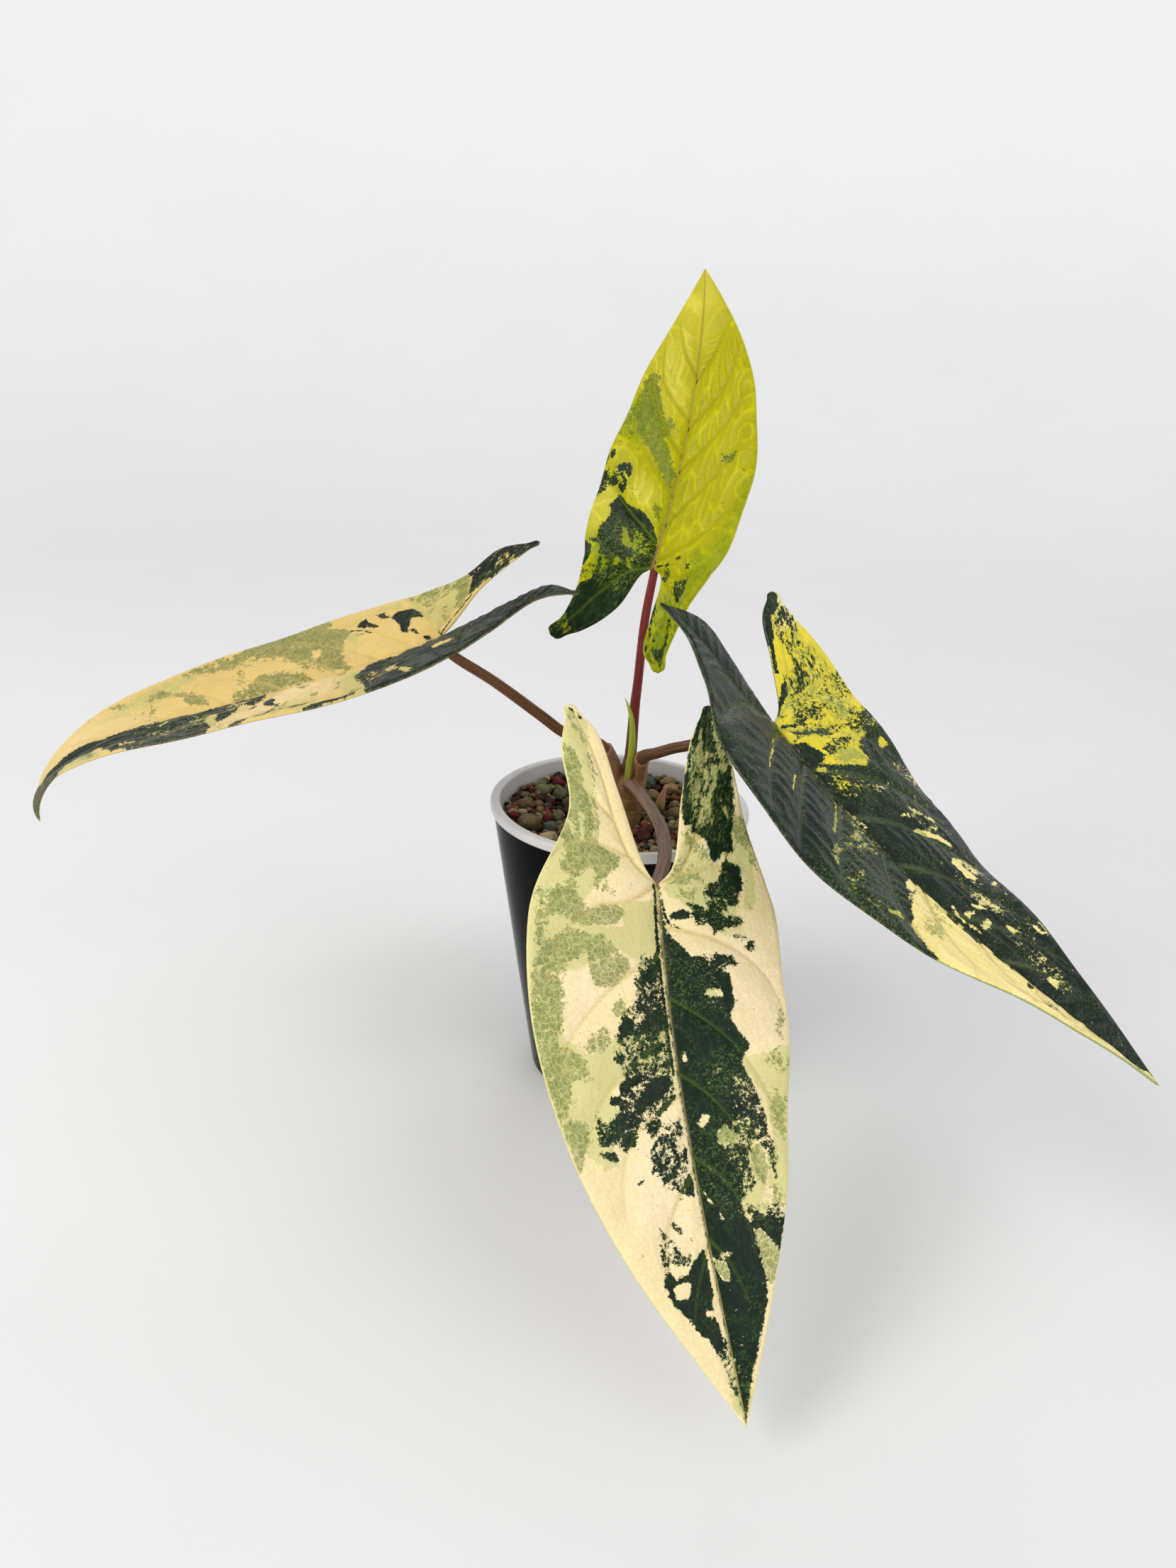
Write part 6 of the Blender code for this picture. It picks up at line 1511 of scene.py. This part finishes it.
stemFinish = stemMaterial(stemBase["finish"])
buildStemBase(stemBase)
print("stem base ready")

pot = dict(
    height=120.0, rimRadius=50.0, baseRadius=30.7, lipHeight=3.7, overhang=1.1, shellWall=1.5,
    shellFloor=2.4, linerWall=1.3, linerFloor=1.6, gap=0.3, sides=192, recess=(13.0, 25.0, 1.0),
    recessSlope=0.6, holes=4, holeRing=19.0, holeRadius=3.5, holeSides=48, drillDepth=20.0,
    sharpAngle=38.0)


def shellRadius(height):
    top = pot["rimRadius"] - pot["overhang"]
    return pot["baseRadius"] + (top - pot["baseRadius"]) * height / (pot["height"] - pot["lipHeight"])


def linerRadius(height):
    return shellRadius(height) - pot["shellWall"] - pot["gap"] - pot["linerWall"]


# Corners of a profile are rounded: each is (radius, height, rounding).
def roundedProfile(corners, steps=6):
    profile = []
    for index, (radius, height, rounding) in enumerate(corners):
        spot = np.array([radius, height])
        if rounding <= 0.0 or index in (0, len(corners) - 1):
            profile.append(spot)
            continue
        toBefore, toAfter = (np.array(corners[index + shift][:2]) - spot for shift in (-1, 1))
        reachBefore, reachAfter = np.linalg.norm(toBefore), np.linalg.norm(toAfter)
        pull = min(rounding, 0.45 * reachBefore, 0.45 * reachAfter)
        start, end = spot + toBefore / reachBefore * pull, spot + toAfter / reachAfter * pull
        for t in np.linspace(0.0, 1.0, steps):
            profile.append((1 - t) ** 2 * start + 2 * t * (1 - t) * spot + t ** 2 * end)
    return profile


def drillHoles(piece):
    cutter = bmesh.new()
    radius = pot["holeRadius"] * mm
    for number in range(pot["holes"]):
        angle = fullTurn * (number + 0.5) / pot["holes"]
        spot = Vector((math.cos(angle), math.sin(angle), 0.0)) * pot["holeRing"] * mm
        bmesh.ops.create_cone(
            cutter, cap_ends=True, segments=pot["holeSides"], radius1=radius, radius2=radius,
            depth=pot["drillDepth"] * mm, matrix=Matrix.Translation(spot))
    mesh = bpy.data.meshes.new("drill")
    cutter.to_mesh(mesh)
    cutter.free()
    drill = addObject("drill", mesh)
    cut = piece.modifiers.new("drainHoles", "BOOLEAN")
    cut.operation = "DIFFERENCE"
    cut.object = drill
    settleModifiers(piece)
    bpy.data.objects.remove(drill, do_unlink=True)


def turnedPiece(name, corners, material):
    sides = pot["sides"]
    points, rings = [], []
    for radius, height in roundedProfile(corners):
        start = len(points)
        if radius < 1e-6:
            points.append((0.0, 0.0, height))
            rings.append([start] * sides)
        else:
            points.extend((radius * math.cos(a), radius * math.sin(a), height) for a in ringAngles(sides))
            rings.append(list(range(start, start + sides)))
    quads, triangles = [], []
    for lower, upper in zip(rings[:-1], rings[1:]):
        for side in range(sides):
            after = (side + 1) % sides
            kept = list(dict.fromkeys([lower[side], lower[after], upper[after], upper[side]]))
            (quads if len(kept) == 4 else triangles).append(kept)
    piece = makeMesh(name, np.array(points), [np.array(quads), np.array(triangles)], material)
    drillHoles(piece)
    piece.data.shade_smooth()
    piece.data.set_sharp_from_angle(angle=math.radians(pot["sharpAngle"]))
    return piece


def glossBlack():
    material, desk, shader = newMaterial("glossBlackPlastic", 0.035)
    mottle = desk.group(softMottle, scale=28.0, grain=1400.0).outputs
    scratches = desk.noise(desk.scaled(desk.objectPlace(), (500.0, 500.0, 60.0)), 1.0, 2.0)
    marks = desk.ramp(scratches, 0.66, 0.74)
    colour = desk.mix(mottle["Cloud"], (0.0022, 0.0022, 0.0026), (0.0045, 0.0045, 0.0050))
    colour = desk.mix(desk.times(mottle["Speck"], 0.12), colour, (0.10, 0.10, 0.10))
    roughness = desk.plus(desk.ramp(mottle["Cloud"], 0.0, 1.0, 0.10, 0.17), desk.times(marks, 0.10))
    desk.finish(shader, colour, roughness, mottle["Cloud"], 0.06, 0.4)
    return material


def satinWhite():
    material, desk, shader = newMaterial("satinWhitePlastic", 0.3)
    mottle = desk.group(softMottle, scale=45.0, grain=1800.0).outputs
    colour = desk.mix(mottle["Cloud"], (0.57, 0.55, 0.54), (0.64, 0.62, 0.61))
    # soiled just above the mix
    low = desk.ramp(desk.height(), 0.1105, 0.1165, 1.0, 0.0)
    soiled = desk.times(low, desk.ramp(mottle["Cloud"], 0.2, 0.8, 0.2, 0.7))
    colour = desk.mix(soiled, colour, (0.46, 0.40, 0.34))
    colour = desk.mix(desk.times(mottle["Speck"], 0.25), colour, (0.30, 0.22, 0.16))
    desk.finish(shader, colour, desk.ramp(mottle["Grain"], 0.3, 0.7, 0.26, 0.40), mottle["Grain"], 0.08, 0.1)
    return material


shellTop = pot["height"] - pot["lipHeight"]
linerBase = pot["shellFloor"] + pot["gap"]
linerFloor = linerBase + pot["linerFloor"]


def buildPot(settings):
    base, floor, wall = settings["baseRadius"], settings["shellFloor"], settings["shellWall"]
    start, end, depth = settings["recess"]
    slope, middle = settings["recessSlope"], settings["height"] / 2.0
    shell = turnedPiece("potShell", (
        (0.0, 0.0, 0.0), (start - slope, 0.0, 0.3), (start, depth, 0.3), (end, depth, 0.3),
        (end + slope, 0.0, 0.3), (base - 1.2, 0.0, 0.6), (base + 0.2, 1.4, 0.8),
        (shellRadius(middle), middle, 0.0), (shellRadius(shellTop), shellTop, 0.25),
        (shellRadius(shellTop) - wall, shellTop, 0.25), (shellRadius(floor) - wall, floor, 0.5),
        (0.0, floor, 0.0)), glossBlack())
    standFor(shell, "pot_black", "pot_shell")
    lipBase, top = shellTop + settings["gap"], settings["height"]
    rim, wall = settings["rimRadius"], settings["linerWall"]
    liner = turnedPiece("potLiner", (
        (0.0, linerBase, 0.0), (linerRadius(linerBase) + wall, linerBase, 0.5),
        (linerRadius(lipBase) + wall, lipBase, 0.0), (rim, lipBase, 0.55), (rim, top, 1.3),
        (linerRadius(top), top, 1.1), (linerRadius(linerFloor), linerFloor, 0.6),
        (0.0, linerFloor, 0.0)), satinWhite())
    standFor(liner, "pot_white", "pot_liner")


buildPot(pot)
print("pot ready")

# A big stone is (x, y, size), a layer is (count, smallest, largest) and clearOf holds (x, y, radius).
gravel = dict(
    top=110.0, seed=29, field=50, overlap=0.6, bedDrop=1.6, heap=4.6, ceiling=117.6, tries=14,
    pumiceFirst=2, flatness=(0.62, 0.85), restRank=62, seat=0.52, sink=0.25, fineFrom=2.6,
    lengths=(0.95, 1.22), widths=(0.78, 0.98), chips=4, chipDepth=(0.62, 0.85), chipStrength=0.8, tilt=0.45,
    # the shade and lit values below set a painted shade that darkens the lower half of each stone
    wallGap=0.25, brightness=(0.8, 1.25), gapShade=0.16, litFrom=0.42, litSlope=0.8, litPower=1.3,
    bedTint=(0.035, 0.022, 0.018), bedSides=96, bedRings=40, bedLevel=1.9, bedLumps=(0.9, 0.4),
    bedMargin=2.0,
    big=(
        (-33.5, -14.0, 5.4), (-26.0, -25.5, 4.4), (25.0, -27.0, 4.1), (-12.0, 33.0, 4.4), (31.0, 16.0, 4.6),
        (-37.0, 5.0, 4.2), (12.0, 35.0, 4.6), (22.0, 28.0, 3.9), (9.5, -13.0, 3.9), (-24.0, 20.0, 3.9)),
    layers=((70, 2.4, 3.5), (180, 1.7, 2.4), (330, 1.1, 1.7)), clearOf=((2.5, 1.5, 6.2), (17.2, 14.8, 3.0)),
    kinds=dict(
        lava=dict(
            share=0.36,
            colours=(
                (0.20, 0.020, 0.014), (0.12, 0.014, 0.011), (0.26, 0.055, 0.032), (0.050, 0.010, 0.009)),
            pits=0.20),
        pumice=dict(
            share=0.36,
            colours=((0.33, 0.215, 0.10), (0.25, 0.17, 0.072), (0.50, 0.39, 0.23), (0.21, 0.16, 0.07)),
            pits=0.13),
        zeolite=dict(
            share=0.28,
            colours=((0.14, 0.16, 0.072), (0.08, 0.11, 0.08), (0.25, 0.25, 0.13), (0.030, 0.029, 0.027)),
            pits=0.05)))


# A round pebble of size one, shared by all stones of a fineness.
def unitPebble(level):
    bm = bmesh.new()
    bmesh.ops.create_icosphere(bm, subdivisions=level, radius=1.0)
    bm.verts.ensure_lookup_table()
    points = np.array([vertex.co[:] for vertex in bm.verts])
    faces = np.array([[vertex.index for vertex in face.verts] for face in bm.faces])
    bm.free()
    return points, faces


# Stones settle one by one on a height map with cells of 1 mm, the biggest first, each in the lowest of a
# few drawn places. The floor of the map rises toward the wall.
def settleStones(settings):
    rng = random.Random(settings["seed"])
    cells = np.arange(-settings["field"], settings["field"]) + 0.5
    gridX, gridY = np.meshgrid(cells, cells, indexing="ij")
    limit = linerRadius(settings["top"]) + settings["overlap"]
    heaped = settings["heap"] * unit(np.hypot(gridX, gridY) / limit) ** 2
    bare = settings["top"] - settings["bedDrop"] + heaped
    floor = bare.copy()
    stones = []

    def fits(x, y, size):
        clear = all(math.hypot(x - cx, y - cy) > room + size for cx, cy, room in settings["clearOf"])
        return clear and math.hypot(x, y) + size < limit

    def drop(x, y, size):
        flat = rng.uniform(*settings["flatness"])
        gap = np.hypot(gridX - x, gridY - y)
        under = gap < size
        rest = float(np.percentile(floor[under], settings["restRank"]))
        z = min(rest + settings["seat"] * size * flat, settings["ceiling"] - size * flat)
        dome = z + size * flat * np.sqrt(unit(1.0 - (gap / size) ** 2))
        floor[under] = np.maximum(floor[under], dome[under] - settings["sink"] * size)
        stones.append((x, y, z, size, flat))

    for x, y, size in settings["big"]:
        drop(x, y, size)
    for count, low, high in settings["layers"]:
        for _ in range(count):
            size = rng.uniform(low, high)
            best = None
            for _ in range(settings["tries"]):
                angle = rng.uniform(0.0, fullTurn)
                radius = (limit - size) * math.sqrt(rng.random())
                x, y = radius * math.cos(angle), radius * math.sin(angle)
                if not fits(x, y, size):
                    continue
                near = np.hypot(gridX - x, gridY - y) < max(size * 0.7, 1.0)
                level = float((floor - bare)[near].max())
                if best is None or level < best[0]:
                    best = (level, x, y)
            if best:
                drop(best[1], best[2], size)
    return stones, rng


def stoneMaterial(name, pits, tintSpread):
    material, desk, shader = newMaterial(name, 0.12)
    place = desk.objectPlace()
    tint = desk.read("stoneTint", "Color")
    grain = desk.noise(place, 1500.0, 4.0, 0.65)
    blots = desk.noise(place, 420.0, 4.0)
    hollows = desk.cells(place, 1100.0, "SMOOTH_F1")
    lighter = desk.mix(0.28, tint, (0.42, 0.34, 0.22))
    colour = desk.mix(desk.times(desk.ramp(blots, 0.45, 0.68), tintSpread), tint, lighter)
    colour = desk.mix(desk.ramp(grain, 0.38, 0.6, 0.55, 0.0), colour, (0.012, 0.010, 0.008))
    dust = desk.ramp(grain, 0.60, 0.72, 0.0, 0.16)
    colour = desk.mix(dust, colour, (0.40, 0.35, 0.28))
    height = desk.plus(desk.times(hollows, pits * 4.0), grain)
    desk.finish(shader, colour, desk.ramp(grain, 0.3, 0.7, 0.62, 0.92), height, 0.7, 0.35)
    return material


def pickKind(kinds, pick):
    for kind, settings in kinds.items():
        pick -= settings["share"]
        if pick < 0.0:
            break
    return kind


# One stone: the pebble made knobbly, stretched, chipped along a few random planes and turned.
def stonePoints(settings, rng, pebble, number, pits, size, flat):
    seat = Vector((number * 7.3, number * 3.1, number * 1.7))
    bumps = np.array([noise.fractal(Vector(point) * 1.1 + seat, 1.0, 2.0, 3) for point in pebble])
    knobs = np.array([noise.noise(Vector(point) * 3.2 + seat) for point in pebble])
    facet = np.array([noise.cell(Vector(point) * 0.9 + seat) for point in pebble])
    radius = 1.0 + 0.22 * bumps + pits * 0.8 * np.minimum(knobs, 0.05) + 0.03 * facet
    stretch = np.array([rng.uniform(*settings["lengths"]), rng.uniform(*settings["widths"]), flat])
    shaped = pebble * radius[:, None] * stretch * size
    for _ in range(settings["chips"]):
        normal = np.array(Vector([rng.uniform(-1, 1) for _ in range(3)]).normalized())
        over = np.clip(shaped @ normal - rng.uniform(*settings["chipDepth"]) * size, 0.0, None)
        shaped = shaped - settings["chipStrength"] * over[:, None] * normal
    turn = Matrix.Rotation(rng.uniform(0.0, fullTurn), 3, "Z")
    turn = turn @ Matrix.Rotation(rng.uniform(-settings["tilt"], settings["tilt"]), 3, "X")
    return shaped @ np.array(turn).T


def buildGravel(settings):
    stones, rng = settleStones(settings)
    pebbles = {level: unitPebble(level) for level in (3, 4)}
    kinds = settings["kinds"]
    parts = {kind: dict(points=[], faces=[], tints=[], start=0) for kind in kinds}
    for number, (x, y, z, size, flat) in enumerate(stones):
        kind = pickKind(kinds, rng.random())
        if number < settings["pumiceFirst"]:
            kind = "pumice"
        pebble, faces = pebbles[4 if size > settings["fineFrom"] else 3]
        shaped = stonePoints(settings, rng, pebble, number, kinds[kind]["pits"], size, flat)
        shaped = shaped + np.array([x, y, z])
        # a stone that leans on the wall is worn flat there
        outward = np.maximum(np.hypot(shaped[:, 0], shaped[:, 1]), 1e-6)
        wall = np.minimum(1.0, (linerRadius(shaped[:, 2]) - settings["wallGap"]) / outward)
        shaped[:, :2] *= wall[:, None]
        # painted shade: the lower half of each stone is darker, as the gaps between the stones lie in shade
        litShare = unit(settings["litFrom"] + settings["litSlope"] * (shaped[:, 2] - z) / (size * flat))[:, None]
        shade = settings["gapShade"] + (1.0 - settings["gapShade"]) * litShare ** settings["litPower"]
        tint = np.array(rng.choice(kinds[kind]["colours"])) * rng.uniform(*settings["brightness"])
        part = parts[kind]
        part["points"].append(shaped)
        part["faces"].append(faces + part["start"])
        part["tints"].append(np.hstack([tint * shade, np.ones_like(litShare)]))
        part["start"] += len(pebble)
    for kind, part in parts.items():
        piece = makeMesh(kind + "Stones", np.concatenate(part["points"]), part["faces"],
                         stoneMaterial(kind + "Stone", kinds[kind]["pits"], 0.55))
        addLayer(piece.data, "stoneTint", "FLOAT_COLOR", "color", np.concatenate(part["tints"]))
        standFor(piece, "gritty_mix", "gritty_mix")
        print(kind, "stones have", len(piece.data.polygons), "faces")


# The body of grit under the stones: a lumpy top, the wall's taper and a flat bottom.
def buildMixBed(settings):
    sides, rings = settings["bedSides"], settings["bedRings"]
    bottom = linerFloor + pot["gap"]
    level = settings["top"] - settings["bedLevel"]
    limit = linerRadius(settings["top"] - settings["bedMargin"]) - pot["gap"]
    lumpHeight, lumpRate = settings["bedLumps"]
    points = []
    for ring in range(rings + 1):
        radius = limit * max(ring / rings, 0.004)
        heaped = settings["heap"] * (radius / limit) ** 2
        for angle in ringAngles(sides):
            x, y = radius * math.cos(angle), radius * math.sin(angle)
            lump = lumpHeight * noise.noise((x * lumpRate, y * lumpRate, 3.0))
            points.append((x, y, level + heaped + lump))
    lower = linerRadius(bottom) - pot["gap"] - 0.3
    points += [(lower * math.cos(angle), lower * math.sin(angle), bottom) for angle in ringAngles(sides)]
    total = len(points)
    points += [(0.0, 0.0, level), (0.0, 0.0, bottom)]
    caps = np.concatenate([ringCap(0, sides, total), ringCap(total - sides, sides, total + 1)])
    bed = makeMesh("mixBed", np.array(points), [ringQuads(rings + 2, sides), caps],
                   stoneMaterial("darkGrit", 0.1, 0.2))
    tints = np.tile((*settings["bedTint"], 1.0), (len(points), 1))
    addLayer(bed.data, "stoneTint", "FLOAT_COLOR", "color", tints)
    standFor(bed, "gritty_mix", "gritty_mix")


buildGravel(gravel)
buildMixBed(gravel)
print("mix ready")

# The stage is in metres; a lamp is (name, place, size, power, colour).
studio = dict(
    floorRadius=3.2, flatRadius=1.2, wallHeight=2.4, wallSteps=12, sides=96, cloudShade=0.985,
    glowColour=(1.0, 0.995, 0.985), glowFrom=0.7, aim=(0.0, -0.04, 0.14), floorColour=(0.775, 0.772, 0.77),
    wallGlow=0.30, skyColour=(0.96, 0.975, 1.0), skyStrength=0.55,
    lamps=(
        ("keyLamp", (-1.25, -0.75, 1.35), 0.9, 18.5, (1.0, 0.985, 0.96)),
        ("fillLamp", (1.1, -1.0, 0.9), 1.2, 6.0, (0.98, 0.985, 1.0)),
        ("backLamp", (0.3, 1.2, 1.4), 1.0, 4.0, (1.0, 1.0, 1.0))))


# A round floor that bends up into a wall, like the inside of a bowl.
def buildFloor(settings):
    material, desk, shader = newMaterial("paleFloor", 0.2)
    place = desk.objectPlace()
    cloudy = [value * settings["cloudShade"] for value in settings["floorColour"]]
    colour = desk.mix(desk.ramp(desk.noise(place, 6.0), 0.3, 0.7), settings["floorColour"], cloudy)
    # the wall glows a little, so that it is as pale as the floor
    away = desk.put("ShaderNodeVectorMath", {0: place}, operation="LENGTH").outputs["Value"]
    glow = desk.mix(desk.ramp(away, settings["glowFrom"], settings["floorRadius"]), (0.0, 0.0, 0.0),
                    settings["glowColour"])
    desk.feedAll(shader, baseColor=colour, roughness=0.75, emissionColor=glow,
                 emissionStrength=settings["wallGlow"])
    sides, flat = settings["sides"], settings["flatRadius"]
    profile = [(flat, 0.0)]
    for step in range(1, settings["wallSteps"] + 1):
        angle = step / settings["wallSteps"] * math.pi / 2
        radius = flat + (settings["floorRadius"] - flat) * math.sin(angle)
        profile.append((radius, settings["wallHeight"] * (1.0 - math.cos(angle))))
    points = [(radius * math.cos(angle) / mm, radius * math.sin(angle) / mm, height / mm)
              for radius, height in profile for angle in ringAngles(sides)]
    faces = [ringQuads(len(profile), sides), ringCap(0, sides, len(points))]
    floor = makeMesh("floor", np.array(points + [(0.0, 0.0, 0.0)]), faces, material)


def buildLight(settings):
    world = bpy.data.worlds.new("softSky")
    world.use_nodes = True
    background = world.node_tree.nodes["Background"]
    background.inputs["Color"].default_value = (*settings["skyColour"], 1.0)
    background.inputs["Strength"].default_value = settings["skyStrength"]
    bpy.context.scene.world = world
    for name, place, size, power, colour in settings["lamps"]:
        light = bpy.data.lights.new(name, "AREA")
        light.shape = "SQUARE"
        light.size = size
        light.energy = power
        light.color = colour
        lamp = addObject(name, light)
        lamp.location = place
        lamp.rotation_euler = (Vector(settings["aim"]) - Vector(place)).to_track_quat("-Z", "Y").to_euler()


camera = dict(
    place=(-12.624, -382.269, 281.962), right=(0.998707, 0.019247, 0.047058),
    up=(-0.050842, 0.378074, 0.924378), back=(0.0, -0.925575, 0.378564), lens=24.55, sensor=36.0,
    nearest=0.01)


def buildCamera(settings):
    lens = bpy.data.cameras.new("photoCamera")
    lens.lens = settings["lens"]
    lens.sensor_width = settings["sensor"]
    lens.clip_start = settings["nearest"]
    eye = addObject("photoCamera", lens)
    axes = Matrix((settings["right"], settings["up"], settings["back"])).transposed()
    eye.matrix_world = Matrix.Translation(Vector(settings["place"]) * mm) @ axes.to_4x4()
    bpy.context.scene.camera = eye


buildFloor(studio)
buildLight(studio)
buildCamera(camera)
bpy.context.scene.view_settings.view_transform = "Standard"
bpy.context.view_layer.update()
print("stage ready")
